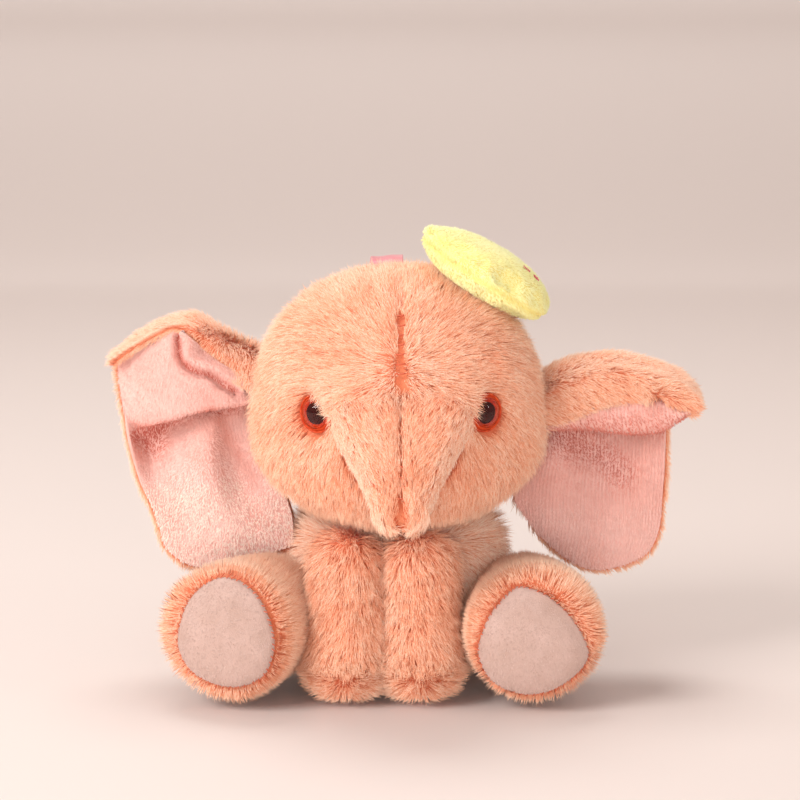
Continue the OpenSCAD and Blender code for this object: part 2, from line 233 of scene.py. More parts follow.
def set_mesh(name, points, faces, materials, face_material=None, uv=None, smooth=True):
    """A mesh object from arrays: points in mm, and faces with three or four corners."""
    faces = np.asarray(faces)
    mesh = bpy.data.meshes.new(name)
    count, corners = faces.shape
    mesh.vertices.add(len(points))
    mesh.vertices.foreach_set("co", (np.asarray(points, float) * MM).astype(np.float32).ravel())
    mesh.loops.add(count * corners)
    mesh.loops.foreach_set("vertex_index", faces.astype(np.int32).ravel())
    mesh.polygons.add(count)
    mesh.polygons.foreach_set("loop_start", (np.arange(count) * corners).astype(np.int32))
    mesh.polygons.foreach_set("loop_total", np.full(count, corners, np.int32))
    if face_material is not None:
        mesh.polygons.foreach_set("material_index", np.asarray(face_material, np.int32))
    mesh.polygons.foreach_set("use_smooth", np.full(count, smooth))
    mesh.update(calc_edges=True)
    for m in materials:
        mesh.materials.append(m)
    if uv is not None:
        layer = mesh.uv_layers.new(name="OFBake")
        layer.data.foreach_set("uv", np.asarray(uv, np.float32).ravel())
    mesh.validate()
    obj = bpy.data.objects.new(name, mesh)
    bpy.context.scene.collection.objects.link(obj)
    return obj


def show(name, skin, material):
    return set_mesh(name, skin.points, skin.quads, [material], uv=skin.uv)


def fit(obj, body, slot, *nodes, fill=None, flat=None):
    """Puts a piece on its body, in place of the CAD nodes that it stands for. Its slot is not used."""
    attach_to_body(obj, body)
    if nodes:
        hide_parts(*nodes)


def tube(name, lines, radius, material, sides=8):
    """Thread: a round tube along each line of points, with closed ends."""
    points, faces, base = [], [], 0
    for line in lines:
        line = np.asarray(line, float)
        along = unit(np.gradient(line, axis=0))
        side = unit(np.cross(along, np.array([0.31, 0.87, 0.39])))
        up = np.cross(along, side)
        t = np.linspace(0, 2 * math.pi, sides, endpoint=False)
        n = len(line)
        thick = radius * np.sqrt(np.clip(1 - (np.abs(np.linspace(-1, 1, n)) ** 8) * 0.75, 0.05, 1))
        ring = (np.cos(t)[None, :, None] * side[:, None] + np.sin(t)[None, :, None] * up[:, None])
        points.append((line[:, None] + ring * thick[:, None, None]).reshape(-1, 3))
        a = (np.arange(n - 1)[:, None] * sides + np.arange(sides)[None, :]).ravel()
        b = (np.arange(n - 1)[:, None] * sides + (np.arange(sides)[None, :] + 1) % sides).ravel()
        quads = np.stack([a, b, b + sides, a + sides], 1) + base
        half = sides // 2
        caps = [[k, k + 1, sides - 1 - (k + 1) % sides, (sides - 1 - k) % sides] for k in range(half - 1)]
        faces += [quads, np.array(caps) + base, np.array(caps)[:, ::-1] + base + (n - 1) * sides]
        base += n * sides
    return set_mesh(name, np.concatenate(points), np.concatenate(faces), [material])


# ---------------- materials

def linear(colour):
    c = np.asarray(colour, float) / 255
    return tuple(np.where(c <= 0.04045, c / 12.92, ((c + 0.055) / 1.055) ** 2.4)) + (1.0,)


def plain(name, colour, rough=0.75, **sockets):
    m = bpy.data.materials.new(name)
    m.use_nodes = True
    b = m.node_tree.nodes["Principled BSDF"]
    b.inputs["Base Color"].default_value = linear(colour)
    b.inputs["Roughness"].default_value = rough
    for key, value in sockets.items():
        b.inputs[key.replace("_", " ")].default_value = value
    return m


def cloth(name, dark, light, size, rough=0.85, bump_size=0.0004, depth=0.3, sheen=0.3):
    """Cloth with uneven colour and a fine surface."""
    m = plain(name, light, rough, Sheen_Weight=sheen, Sheen_Roughness=0.5)
    nodes, links = m.node_tree.nodes, m.node_tree.links
    b = nodes["Principled BSDF"]
    b.inputs["Specular IOR Level"].default_value = 0.2
    where = nodes.new("ShaderNodeTexCoord")
    n = nodes.new("ShaderNodeTexNoise")
    n.inputs["Scale"].default_value = 1 / size
    n.inputs["Detail"].default_value = 5
    links.new(where.outputs["Object"], n.inputs["Vector"])
    ramp = nodes.new("ShaderNodeValToRGB")
    ramp.color_ramp.elements[0].position, ramp.color_ramp.elements[1].position = 0.3, 0.7
    ramp.color_ramp.elements[0].color, ramp.color_ramp.elements[1].color = linear(dark), linear(light)
    links.new(n.outputs["Fac"], ramp.inputs["Fac"])
    links.new(ramp.outputs["Color"], b.inputs["Base Color"])
    fine = nodes.new("ShaderNodeTexNoise")
    fine.inputs["Scale"].default_value = 1 / bump_size
    fine.inputs["Detail"].default_value = 3
    links.new(where.outputs["Object"], fine.inputs["Vector"])
    bumps = nodes.new("ShaderNodeBump")
    bumps.inputs["Strength"].default_value = depth
    bumps.inputs["Distance"].default_value = bump_size
    links.new(fine.outputs["Fac"], bumps.inputs["Height"])
    links.new(bumps.outputs["Normal"], b.inputs["Normal"])
    return m


# Fur: tones from deep to pale, each with a root, a middle and a tip
TONES = [
    ((222, 110, 72), (236, 150, 111), (244, 177, 141)),
    ((229, 122, 83), (241, 160, 122), (248, 189, 155)),
    ((235, 134, 95), (245, 171, 134), (251, 199, 167)),
    ((239, 145, 107), (249, 182, 146), (253, 209, 179)),
    ((242, 157, 121), (251, 193, 159), (255, 219, 194)),
]
FUR = [plain(f"fur_{i}_{part}", c, 0.6, Sheen_Weight=0.35, Sheen_Roughness=0.4, Specular_IOR_Level=0.2)
       for i, tone in enumerate(TONES) for part, c in zip(("root", "mid", "tip"), tone)]


def pile(name, *colours):
    """Short pile, from deep to pale."""
    return [plain(f"{name}_{i}", c, 0.8, Sheen_Weight=0.3) for i, c in enumerate(colours)]


# the velour's deeper shades serve as painted shade in the ear linings' folds
VELOUR = pile("velour", (204, 106, 90), (216, 130, 114), (227, 152, 137), (236, 172, 158), (243, 189, 177),
              (249, 204, 193), (253, 217, 207), (255, 231, 217))
# the fuzz's deepest shade serves as painted shade on the cap's lower side
FUZZ = pile("fuzz", (240, 218, 126), (248, 237, 154), (252, 246, 174), (255, 252, 194))
NAP = pile("nap", (190, 155, 142), (200, 168, 156), (208, 179, 168), (217, 190, 181))
BACKING = cloth("plush_backing", (224, 118, 78), (238, 148, 108), 0.006, depth=0.6)
LINING = cloth("ear_lining_cloth", (236, 178, 164), (246, 200, 189), 0.012, sheen=0.4)
VELVET = cloth("sole_velvet_cloth", (197, 165, 152), (211, 180, 169), 0.008, bump_size=0.0003, depth=0.5)
FLEECE = cloth("cap_fleece_cloth", (244, 225, 132), (252, 243, 164), 0.006, bump_size=0.0006, depth=0.3)
THREAD = plain("sewing_thread", (212, 104, 72), 0.6)
MARK = plain("mark_thread", (226, 110, 120), 0.6)
SATIN = cloth("ribbon_satin_cloth", (226, 130, 140), (240, 158, 164), 0.004, rough=0.35, depth=0.1, sheen=0.1)
FILLING = cloth("filling", (232, 228, 220), (248, 246, 240), 0.004, depth=0.8)
PELLETS = cloth("pellet_cloth", (196, 196, 194), (216, 216, 214), 0.003, depth=0.5)
WASHER = plain("washer_plastic", (235, 235, 232), 0.4)


# ---------------- fur

def toward_light(n):
    """Fur at an outline is lit from before, above and beside it, as light passes through fine fur."""
    side = ease(0.35, -0.25, n[:, 1])[:, None]
    down = ease(0.1, -0.8, n[:, 2])[:, None]
    level = unit(n * np.array([1, 1, 0]) + np.array([0, -0.1, 0]))
    return unit(n + np.array([0, -0.6, 0.35]) * side + (level * 0.9 + np.array([0, 0, 0.9])) * down)


def fur_piece(name, data, materials, attach, tones, shading, front):
    """Turns strands into pieces that each have a limited number of them."""
    root, normal, steer, length, width, tone, roll, bend = data
    count = len(root)
    pieces = max(2, math.ceil(count / MOST_STRANDS))
    for part in range(pieces):
        pick = slice(part, None, pieces)
        p0, n, f, size = root[pick], normal[pick], steer[pick], length[pick][:, None]
        b0, b1 = bend[0][pick][:, None], bend[1][pick][:, None]
        spine = [p0]
        for share in (0.15, 0.5, 0.85):
            b = b0 + (b1 - b0) * share
            spine.append(spine[-1] + unit(n * (1 - b) + f * b) * size / 3)
        spine = [np.column_stack([s[:, :2], np.maximum(s[:, 2], 0.12)]) for s in spine]
        along = unit(spine[3] - spine[0])
        n = front(p0, n) if front is not None else toward_light(n)
        flat = unit(np.cross(along, n) + 1e-6)
        out = np.cross(flat, along)
        out *= np.sign((out * n).sum(1, keepdims=True) + 1e-9)
        angle = roll[pick][:, None]
        side = flat * np.cos(angle) + out * np.sin(angle)
        w = width[pick][:, None]
        rows = []
        for s, share in zip(spine[:3], (0.8, 1.0, 0.7)):
            rows += [s - side * w * share, s + side * w * share]
        points = np.stack(rows + [spine[3]], 1)
        m = len(p0)
        base = np.arange(m)[:, None] * 7
        face_out = unit(np.cross(side, along))
        turned = (face_out * n).sum(1) < 0
        shape = np.array([[0, 1, 3], [0, 3, 2], [2, 3, 5], [2, 5, 4], [4, 5, 6]])
        faces = (base[:, :, None] + shape[None]).reshape(-1, 5, 3)
        faces[turned] = faces[turned][:, :, ::-1]
        face_out = np.where(turned[:, None], -face_out, face_out)
        if tones == 3:
            level = np.array([0, 0, 1, 1, 2])
            index = tone[pick][:, None] * 3 + level[None]
        else:
            index = np.repeat(tone[pick][:, None], 5, 1)
        obj = set_mesh(f"{name}_{part}" if pieces > 1 else name, points.reshape(-1, 3),
                       faces.reshape(-1, 3), materials, index.ravel())
        soft = unit(n * shading + face_out * (1 - shading) + along * 0.15)
        soft = np.repeat(soft[:, None], 7, 1).reshape(-1, 3)
        obj.data.normals_split_custom_set_from_vertices(soft.astype(np.float32))
        # light passes through fine fur, so every other piece throws no shadow
        obj.visible_shadow = part % 2 == 0 and pieces > 1
        attach(obj)


def grow(name, skin, per_mm2, length, flow, attach, seed, materials=None, tones=3, keep=None,
         lean=(0.5, 0.86), width=0.105, lock=1.9, locks=0.35, wild=0.17, tone=None, most=5, shading=0.7,
         front=None, speckle=1.0):
    """Grows fur on a skin. length, flow, keep and tone are functions of the points and the normals."""
    rng = np.random.default_rng(seed)
    materials = materials or FUR
    p, q = skin.points, skin.quads
    tri = np.concatenate([q[:, [0, 1, 2]], q[:, [0, 2, 3]]])
    area = 0.5 * np.linalg.norm(np.cross(p[tri[:, 1]] - p[tri[:, 0]], p[tri[:, 2]] - p[tri[:, 0]]), axis=1)
    share = np.cumsum(area) / area.sum()
    count = int(area.sum() * per_mm2 * FUR_SHARE)
    pick = tri[np.searchsorted(share, rng.random(count))]
    u, v = rng.random(count), rng.random(count)
    u, v = np.where(u + v > 1, 1 - u, u), np.where(u + v > 1, 1 - v, v)
    a, b, c = (1 - u - v)[:, None], u[:, None], v[:, None]
    root = p[pick[:, 0]] * a + p[pick[:, 1]] * b + p[pick[:, 2]] * c
    normal = unit(skin.normals[pick[:, 0]] * a + skin.normals[pick[:, 1]] * b + skin.normals[pick[:, 2]] * c)
    if keep is not None:
        stay = rng.random(count) < keep(root, normal)
        root, normal = root[stay], normal[stay]
        count = len(root)
    long = length(root, normal) * rng.uniform(0.78, 1.15, count)
    f = flow(root, normal)
    strength = np.clip(np.linalg.norm(f, axis=1), 0, 1)
    f = f - (f * normal).sum(1, keepdims=True) * normal
    f = unit(f) * strength[:, None]
    f = f + gather(root, lock, seed + 11) * locks + rng.normal(0, wild, (count, 3))
    base = noise(root, 7.0, seed + 3) * 0.9 + noise(root, lock, seed + 11) * 0.8 + rng.normal(0, 0.7, count)
    base = base * speckle + (tone(root, normal) if tone else 0)
    shade = np.clip(np.floor(base + most / 2), 0, most - 1).astype(int)
    # fewer strands are each a little wider, so a trial run covers as well
    w = width * rng.uniform(0.75, 1.25, count) * (1 / math.sqrt(FUR_SHARE))
    roll = rng.uniform(-0.45, 0.45, count)
    b0 = np.clip(lean[0] + rng.normal(0, 0.06, count), 0, 0.95)
    b1 = np.clip(lean[1] + rng.normal(0, 0.06, count), 0, 0.98)
    if callable(getattr(flow, "stand", None)):
        up = flow.stand(root)
        b0, b1 = b0 * up, b1 * up
    fur_piece(name, (root, normal, f, long, w, shade, roll, (b0, b1)), materials, attach, tones,
              shading, front)


SETTLE_FRAMES = 20


def settle(skin, voxel, pressure, held, most):
    """Fills a cushion's skin: a cloth simulation under pressure moves it, with its seam held."""
    source = bpy.data.meshes.new("settle")
    source.from_pydata([tuple(v) for v in skin.points * MM], [],
                       [tuple(int(i) for i in q) for q in skin.quads])
    obj = bpy.data.objects.new("settle", source)
    bpy.context.scene.collection.objects.link(obj)
    remesh = obj.modifiers.new("voxels", "REMESH")
    remesh.mode, remesh.voxel_size = "VOXEL", voxel * MM
    graph = bpy.context.evaluated_depsgraph_get()
    coarse = bpy.data.meshes.new_from_object(obj.evaluated_get(graph))
    obj.modifiers.clear()
    obj.data = coarse
    rest = np.array([v.co for v in coarse.vertices]) / MM
    tree = KDTree(len(skin.points))
    for i, v in enumerate(skin.points):
        tree.insert(v, i)
    tree.balance()
    seam = obj.vertex_groups.new(name="seam")
    seam.add([i for i, v in enumerate(rest) if held[tree.find(v)[1]]], 1.0, "REPLACE")
    cloth_modifier = obj.modifiers.new("cloth", "CLOTH")
    settings = cloth_modifier.settings
    settings.vertex_group_mass = "seam"
    settings.use_pressure, settings.uniform_pressure_force = True, pressure
    settings.shrink_min = -0.08
    settings.effector_weights.gravity = 0
    cloth_modifier.point_cache.frame_start, cloth_modifier.point_cache.frame_end = 1, SETTLE_FRAMES
    scene = bpy.context.scene
    for frame_number in range(1, SETTLE_FRAMES + 1):
        scene.frame_set(frame_number)
    graph = bpy.context.evaluated_depsgraph_get()
    moved = np.array([v.co for v in obj.evaluated_get(graph).data.vertices]) / MM
    scene.frame_set(1)
    step = moved - rest
    far = np.linalg.norm(step, axis=1, keepdims=True)
    step *= np.minimum(1, most / np.maximum(far, 1e-6))
    near = KDTree(len(rest))
    for i, v in enumerate(rest):
        near.insert(v, i)
    near.balance()
    for i, v in enumerate(skin.points):
        found = near.find_n(v, 4)
        weight = np.array([1 / (d + 0.2) for _, _, d in found])
        skin.points[i] = v + (weight[:, None] * step[[k for _, k, _ in found]]).sum(0) / weight.sum()
    skin.refresh()
    bpy.data.objects.remove(obj)


def riding(body):
    return lambda obj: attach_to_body(obj, body)


def even(value):
    """The same length or tone everywhere."""
    return lambda p, n: np.full(len(p), float(value))


def combed(*way):
    """Fur that lies the same way everywhere."""
    return lambda p, n: np.tile(way, (len(p), 1))


# ---------------- head

def lathe(profile, centre, columns):
    t = np.linspace(0, 2 * math.pi, columns, endpoint=False)
    r, z = profile[:, 0][:, None], profile[:, 1][:, None]
    grid = np.stack([r * np.sin(t), -r * np.cos(t), z + 0 * t], -1)
    return grid + centre


def egg(r, up, down, n_up, n_low, rows):
    a = np.radians(np.linspace(-89.6, 89.6, rows))
    n, h = np.where(a < 0, n_low, n_up), np.where(a < 0, down, up)
    return np.stack([r * np.cos(a) ** (2 / n), np.sign(a) * h * np.abs(np.sin(a)) ** (2 / n)], 1)


INSET = 2.6
SEAM_X = 2.3
HEAD_INSET = 1.5
head_profile = egg(HEAD_R - HEAD_INSET, HEAD_UP - INSET, HEAD_DOWN - INSET, 2.2, 2.6, 150)
head = Skin(lathe(head_profile, HEAD, 260), closed=True)
EYES = {s: eye_axes(s) for s in ("left", "right")}


def front_seam(p):
    """How deep the seam down the middle of the face pulls the cloth in."""
    on_front = ease(-2, -14, p[:, 1]) * ease(60, 70, p[:, 2])
    return on_front * (-1.1 * bump(p[:, 0], SEAM_X, 1.3) + 0.5 * bump(np.abs(p[:, 0] - SEAM_X), 4.0, 2.2))


def eye_hollow(p):
    d = np.minimum(*[np.linalg.norm(p - EYES[s][0], axis=1) for s in EYES])
    return -1.1 * np.exp(-((d / 7.5) ** 4))


def brow(p):
    """The forehead's cloth runs out onto the trunk."""
    return 3.9 * bump(p[:, 2], 92.5, 9.0) * np.exp(-(((p[:, 0] - SEAM_X) / 18.0) ** 4)) * (p[:, 1] < -20)


head.push(brow(head.points))
head.push(front_seam(head.points) + eye_hollow(head.points) + 0.6 * noise(head.points, 17, 5)
          + 0.25 * noise(head.points, 6, 6))
WHORL = np.array([SEAM_X, -47.0, 105.0])


def head_flow(p, n):
    away = p - WHORL
    d = np.linalg.norm(away, axis=1)
    f = unit(away) * ease(0, 9, d)[:, None]
    f[:, 2] -= 0.7 * ease(14, 0, d)
    aside = np.sign(p[:, 0] - SEAM_X) * ease(-20, -35, p[:, 1]) * ease(124, 118, p[:, 2])
    f[:, 0] += aside * (0.2 * np.exp(-np.abs(p[:, 0] - SEAM_X) / 9)
                        + 1.0 * bump(p[:, 0], SEAM_X, 3.2) * ease(93, 99, p[:, 2]))
    f[:, 2] -= 1.5 * ease(20, 48, d) * ease(122, 100, p[:, 2])
    f[:, 0] *= 1 - 0.4 * ease(90, 70, p[:, 2])
    for s in EYES:
        away = p - EYES[s][0]
        near = np.exp(-((np.linalg.norm(away, axis=1) / 10) ** 2))
        f += unit(away) * near[:, None] * 1.2
    return f


head_flow.stand = lambda p: ((0.8 + 0.2 * ease(4, 30, np.linalg.norm(p - WHORL, axis=1)))
                             * (0.45 + 0.55 * ease(54, 64, p[:, 2])))


def head_length(p, n):
    d = np.minimum(*[np.linalg.norm(p - EYES[s][0], axis=1) for s in EYES])
    top = ease(95, 108, p[:, 2]) * ease(-20, -36, p[:, 1])
    seam = bump(p[:, 0], SEAM_X, 2.6) * ease(92, 98, p[:, 2]) * (p[:, 1] < -20)
    return 6.4 - 2.2 * top - 1.5 * np.exp(-((d / 9.5) ** 2)) + 1.6 * ease(62, 54, p[:, 2]) - 1.3 * seam


def eye_clear(p, n):
    stay = np.ones(len(p))
    for s in EYES:
        place, out, side, up = EYES[s]
        rel = p - place
        d = np.hypot(rel @ side, rel @ up)
        stay *= (d > EYE_R + 0.5) | (rel @ out < -12)
    return stay


def head_keep(p, n):
    gap = 1.05 + 0.65 * noise(p * np.array([0, 0, 1.0]), 1.9, 35) + 0.7 * bump(p[:, 2], 119, 1.6)
    near_seam = np.abs(p[:, 0] - SEAM_X) < gap
    under_seam = 1 - 0.97 * near_seam * ease(-20, -30, p[:, 1]) * ease(121.5, 119.5, p[:, 2])
    rel = p - TRUNK
    s, t = rel @ TRUNK_DIR, rel @ TRUNK_UP
    inside = (np.hypot(rel[:, 0] / 17.0, (t - 1) / 12.0) < 1) & (s > 1)
    on_neck = (np.hypot(p[:, 0] - NECK[0], p[:, 1]) < 15) & (p[:, 2] < 60)
    return eye_clear(p, n) * under_seam * ~inside * ~on_neck


def head_tone(p, n):
    crown = ease(112, 124, p[:, 2])
    # painted light: the fur round the whorl is made paler, to lift the shade between its upright strands
    whorl_painted_light = 2.3 * np.exp(-((np.linalg.norm(p - WHORL, axis=1) / 11) ** 2))
    face = 0.2 * bump(p[:, 2], 100, 12) * (p[:, 1] < -30)
    return 0.5 * crown + 0.5 * ease(0.2, 0.9, np.abs(n[:, 0])) + whorl_painted_light - face


def head_front(p, n):
    near = np.exp(-((np.linalg.norm(p - WHORL, axis=1) / 20) ** 2))[:, None]
    return toward_light(unit(n + np.array([0, -1.4, 1.0]) * near))


fit(show("head_plush", head, BACKING), "head", "plush", "head_cover", fill=0.9)
grow("head_fur", head, 8.5, head_length, head_flow, riding("head"), 21, keep=head_keep, tone=head_tone,
     width=0.095,
     locks=0.26, wild=0.19, lean=(0.42, 0.82), front=head_front)


def lid_flow(p, n):
    """Hair that falls over an eye from above and from beside the trunk."""
    f = np.zeros_like(p)
    for s in EYES:
        place = EYES[s][0]
        near = (np.linalg.norm(p - place, axis=1) < 14)[:, None]
        f += near * unit(place - p)
    return f


def lid_keep(p, n):
    stay = np.zeros(len(p))
    for s in EYES:
        place, out, side, up = EYES[s]
        rel = p - place
        x, z = rel @ side * SIGN[s], rel @ up
        d = np.hypot(x, z)
        angle = np.degrees(np.arctan2(z, x))
        hood = ease(60, 100, angle) if s == "right" else ease(125, 150, angle) * 0.4
        stay = np.maximum(stay, (d > EYE_R + 0.2) * (d < EYE_R + 3.4) * hood * (rel @ out > -9))
    return stay


grow("lid_fur", head, 9.0, even(5.6), lid_flow, riding("head"), 23, keep=lid_keep,
     tone=even(0.8), lean=(0.12, 0.55), width=0.09, wild=0.14)

# ---------------- trunk

TRUNK_S = [-14, -9, -4, 1, 7, 14, 21, 27, 31.5, 34]
TRUNK_WIDE = [17, 20.5, 21.2, 19.8, 17.0, 13.6, 10.4, 8.0, 6.2, 3.2]
TRUNK_RIDGE = [2, 4, 5.5, 6, 5, 3.8, 2.8, 1.8, 0.8, 0]
TRUNK_TOP = [5, 9.6, 12.4, 13.0, 11.4, 8.8, 6.6, 4.8, 3.2, 1.5]
TRUNK_LOW = [9, 11, 12.5, 13.5, 12.8, 11, 9, 7, 5, 2.2]


def trunk_grid(rows, columns):
    table = through(np.array([TRUNK_S, TRUNK_WIDE, TRUNK_RIDGE, TRUNK_TOP, TRUNK_LOW], float).T, rows)
    s, wide, ridge, top, low = [c[:, None] for c in table.T]
    t = np.linspace(0, 2 * math.pi, columns, endpoint=False)[None]
    x = wide * np.cos(t)
    up = np.sin(t)
    height = np.where(up > 0, top * np.abs(up) ** 1.1,
                      -low * np.abs(up) ** 0.9) + ridge * np.abs(np.cos(t)) ** 0.5
    grid = x[..., None] * np.array([1.0, 0, 0]) + height[..., None] * TRUNK_UP + s[..., None] * TRUNK_DIR
    grid = grid + TRUNK
    end = grid[-1:].mean(1, keepdims=True) + TRUNK_DIR * 0.4
    return np.concatenate([grid, grid[-1:] * 0.45 + end * 0.55, np.repeat(end, columns, 1)], 0)


trunk = Skin(trunk_grid(90, 120), closed=True)
trunk_s = (trunk.points - TRUNK) @ TRUNK_DIR
trunk_top = ((trunk.points - TRUNK) @ TRUNK_UP > 0) * 1.0
trunk.push(trunk_top * (-0.45 * bump(trunk.points[:, 0], SEAM_X, 1.1) * ease(36, 32, trunk_s)
                        + 0.5 * bump(np.abs(trunk.points[:, 0] - SEAM_X), 3.6, 1.8) * ease(34, 28, trunk_s)))


def trunk_flow(p, n):
    rel = p - TRUNK
    s = rel @ TRUNK_DIR
    f = np.tile(TRUNK_DIR, (len(p), 1))
    f[:, 0] += -0.55 * np.tanh((p[:, 0] - SEAM_X) / 8) * ease(34, 20, s)
    f[:, 0] += 0.3 * np.sign(p[:, 0] - SEAM_X) * bump(p[:, 0], SEAM_X, 3.0)
    return f


def trunk_length(p, n):
    s = (p - TRUNK) @ TRUNK_DIR
    edge = ease(0.75, 0.97, np.abs(p[:, 0] - TRUNK[0]) / np.interp(s, TRUNK_S, TRUNK_WIDE))
    tip = ease(24, 31, s) * bump(np.abs(p[:, 0] - SEAM_X), 5.0, 2.6)
    return 5.0 - 1.6 * edge * ease(30, 22, s) + 1.0 * tip - 2.0 * bump(p[:, 0], SEAM_X, 2.0) * ease(25, 30, s)


def trunk_keep(p, n):
    s = (p - TRUNK) @ TRUNK_DIR
    t = (p - TRUNK) @ TRUNK_UP
    gap = 0.75 + 0.4 * noise(np.column_stack([0 * s, 0 * s, s]), 2.6, 33)
    seam = 1 - 0.95 * (np.abs(p[:, 0] - SEAM_X) < gap) * (t > 0)
    hollow = 1 - 0.5 * bump(p[:, 0], SEAM_X, 2.4) * ease(27, 31, s)
    return eye_clear(p, n) * seam * hollow * ease(-6, 0, s)


# painted light and shade: the trunk's fur is made paler at its edges, as a painted highlight where they catch
# the light, and darker in the hollow at its tip, as painted shade
def trunk_painted_light_and_shade(p, n):
    s = (p - TRUNK) @ TRUNK_DIR
    edge = np.abs(p[:, 0] - TRUNK[0]) / np.maximum(np.interp(s, TRUNK_S, TRUNK_WIDE), 1)
    tip = 2.5 * bump(p[:, 0], SEAM_X, 2.2) * ease(25, 30, s)
    return 2.4 * ease(0.7, 0.95, edge) - 0.3 * ease(14, 30, s) - tip


def trunk_blend(obj):
    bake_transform(obj)


def trunk_front(p, n):
    below = ease(0.25, -0.2, n @ TRUNK_UP)[:, None]
    return unit(n + np.array([0, -0.8, 0.5]) + np.array([0, -1.4, 1.3]) * below)


trunk_skin = show("trunk_plush", trunk, BACKING)
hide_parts("trunk_cover")
trunk_blend(trunk_skin)
grow("trunk_fur", trunk, 10.0, trunk_length, trunk_flow, trunk_blend, 31, keep=trunk_keep, tone=trunk_painted_light_and_shade,
     lean=(0.62, 0.92), wild=0.12, locks=0.22, width=0.095, front=trunk_front)

# ---------------- body

def body_profile(inset):
    seat = [[0.05 + 18.9 * t, inset] for t in np.linspace(0, 1, 14)]
    r_seat, r_top = BODY_R - SEAT_R - inset, BODY_R - TOP_R - inset
    low = [[SEAT_R + r_seat * math.sin(a), SEAT_Z - (SEAT_Z - inset) * math.cos(a)]
           for a in np.radians(np.linspace(4, 90, 24))]
    high = [[TOP_R + r_top * math.cos(a), TOP_Z + (BODY_HEIGHT - TOP_Z - inset) * math.sin(a)]
            for a in np.radians(np.linspace(0, 88, 26))]
    top = [[TOP_R * (1 - t) + 0.05, BODY_HEIGHT - inset] for t in np.linspace(0.05, 1, 12)]
    return np.array(seat + low + high + top)


body = Skin(lathe(body_profile(INSET), BODY, 200), closed=True)
chest = (body.points[:, 1] < 0) * ease(20, 34, body.points[:, 2])
body.push(0.8 * noise(body.points, 15, 8) - 1.2 * chest * bump(body.points[:, 0], -1.5, 2.5)
          - 1.2 * (body.points[:, 1] > 20) * bump(body.points[:, 0], 1.0, 1.4)
          * ease(46, 40, body.points[:, 2]))
body.points[:, 2] = np.maximum(body.points[:, 2], 1.6)
body.refresh()


def body_flow(p, n):
    f = np.zeros_like(p)
    f[:, 2] = -1
    f[:, 0] += 0.5 * np.tanh((p[:, 0] + 1.5) / 12) * (p[:, 1] < 0)
    low = ease(8, 3, p[:, 2])[:, None]
    top = ease(38, 46, p[:, 2])[:, None]
    out = unit((p - BODY) * np.array([1, 1, 0]))
    return f * (1 - low) + out * (low + 0.9 * top)


body_flow.stand = lambda p: 1 - 0.65 * ease(37, 44, p[:, 2])


def body_keep(p, n):
    stay = np.ones(len(p))
    for side in ("left", "right"):
        stay *= np.linalg.norm(p - HIP[side], axis=1) > 15.5
        a, b = SHOULDER[side], FRONT_FOOT[side]
        t = np.clip(((p - a) @ (b - a)) / ((b - a) @ (b - a)), 0, 1)
        stay *= np.linalg.norm(p - a - t[:, None] * (b - a), axis=1) > 8.0
    stay *= ~((p[:, 2] < 2.4) & (np.hypot(p[:, 0] - BODY[0], p[:, 1] - BODY[1]) < 20))
    return stay * ~(np.hypot(p[:, 0] - NECK[0], p[:, 1]) < 12)


neck = Skin(lathe(egg(NECK_R, NECK_R, NECK_R, 2, 2, 40), NECK, 90), closed=True)
fit(show("neck_plush", neck, BACKING), "neck", "stuffing", "neck_stuffing", fill=0.9)
grow("neck_fur", neck, 9.0, even(9.5), lambda p, n: unit((p - NECK) * np.array([1, 1, 0])) * 0.8,
     riding("neck"), 37, keep=lambda p, n: (np.abs(p[:, 2] - NECK[2]) < 7) * 1.0,
     lean=(0.2, 0.4))

fit(show("body_plush", body, BACKING), "body", "plush", "body_cover", fill=0.75)
# painted light: the fur under the chin, in the head's shadow, is made paler to lift that shade
grow("body_fur", body, 6.0, lambda p, n: 7.4 + 1.8 * ease(36, 42, p[:, 2]) - 2.5 * ease(6, 2, p[:, 2]),
     body_flow,
     riding("body"), 41, keep=body_keep, lean=(0.5, 0.84), wild=0.19, locks=0.35,
     tone=lambda p, n: -0.1 + 2.6 * ease(12, -6, p[:, 1]) * ease(22, 36, p[:, 2]),
     front=lambda p, n: toward_light(unit(n + np.array([0, -2.2, 0.3]) * ease(12, -2, p[:, 1])[:, None])))

# ---------------- legs

def axes_between(a, b):
    w = unit(b - a)
    aside = np.array([0, 0, 1.0] if abs(w[2]) < 0.9 else [0, 1.0, 0])
    u = unit(np.cross(aside, w))
    return u, np.cross(w, u), w


def limb(r0, r1, length, cap, n, rows):
    low = [[r0 * math.cos(a), r0 * math.sin(a)] for a in np.radians(np.linspace(-89.5, 0, rows))]
    side = [[r0 + (r1 - r0) * t, length * t] for t in np.linspace(0, 1, rows)[1:-1]]
    a = np.radians(np.linspace(0, 89.5, rows + 6))
    end = np.stack([r1 * np.cos(a) ** (2 / n), length + cap * np.sin(a) ** (2 / n)], 1)
    return np.array(low + side + end.tolist())


def leg_grid(profile, a, b, columns):
    u, v, w = axes_between(a, b)
    t = np.linspace(0, 2 * math.pi, columns, endpoint=False)
    r, h = profile[:, 0][:, None, None], profile[:, 1][:, None, None]
    ring = np.cos(t)[None, :, None] * u + np.sin(t)[None, :, None] * v
    return a + r * ring + h * w


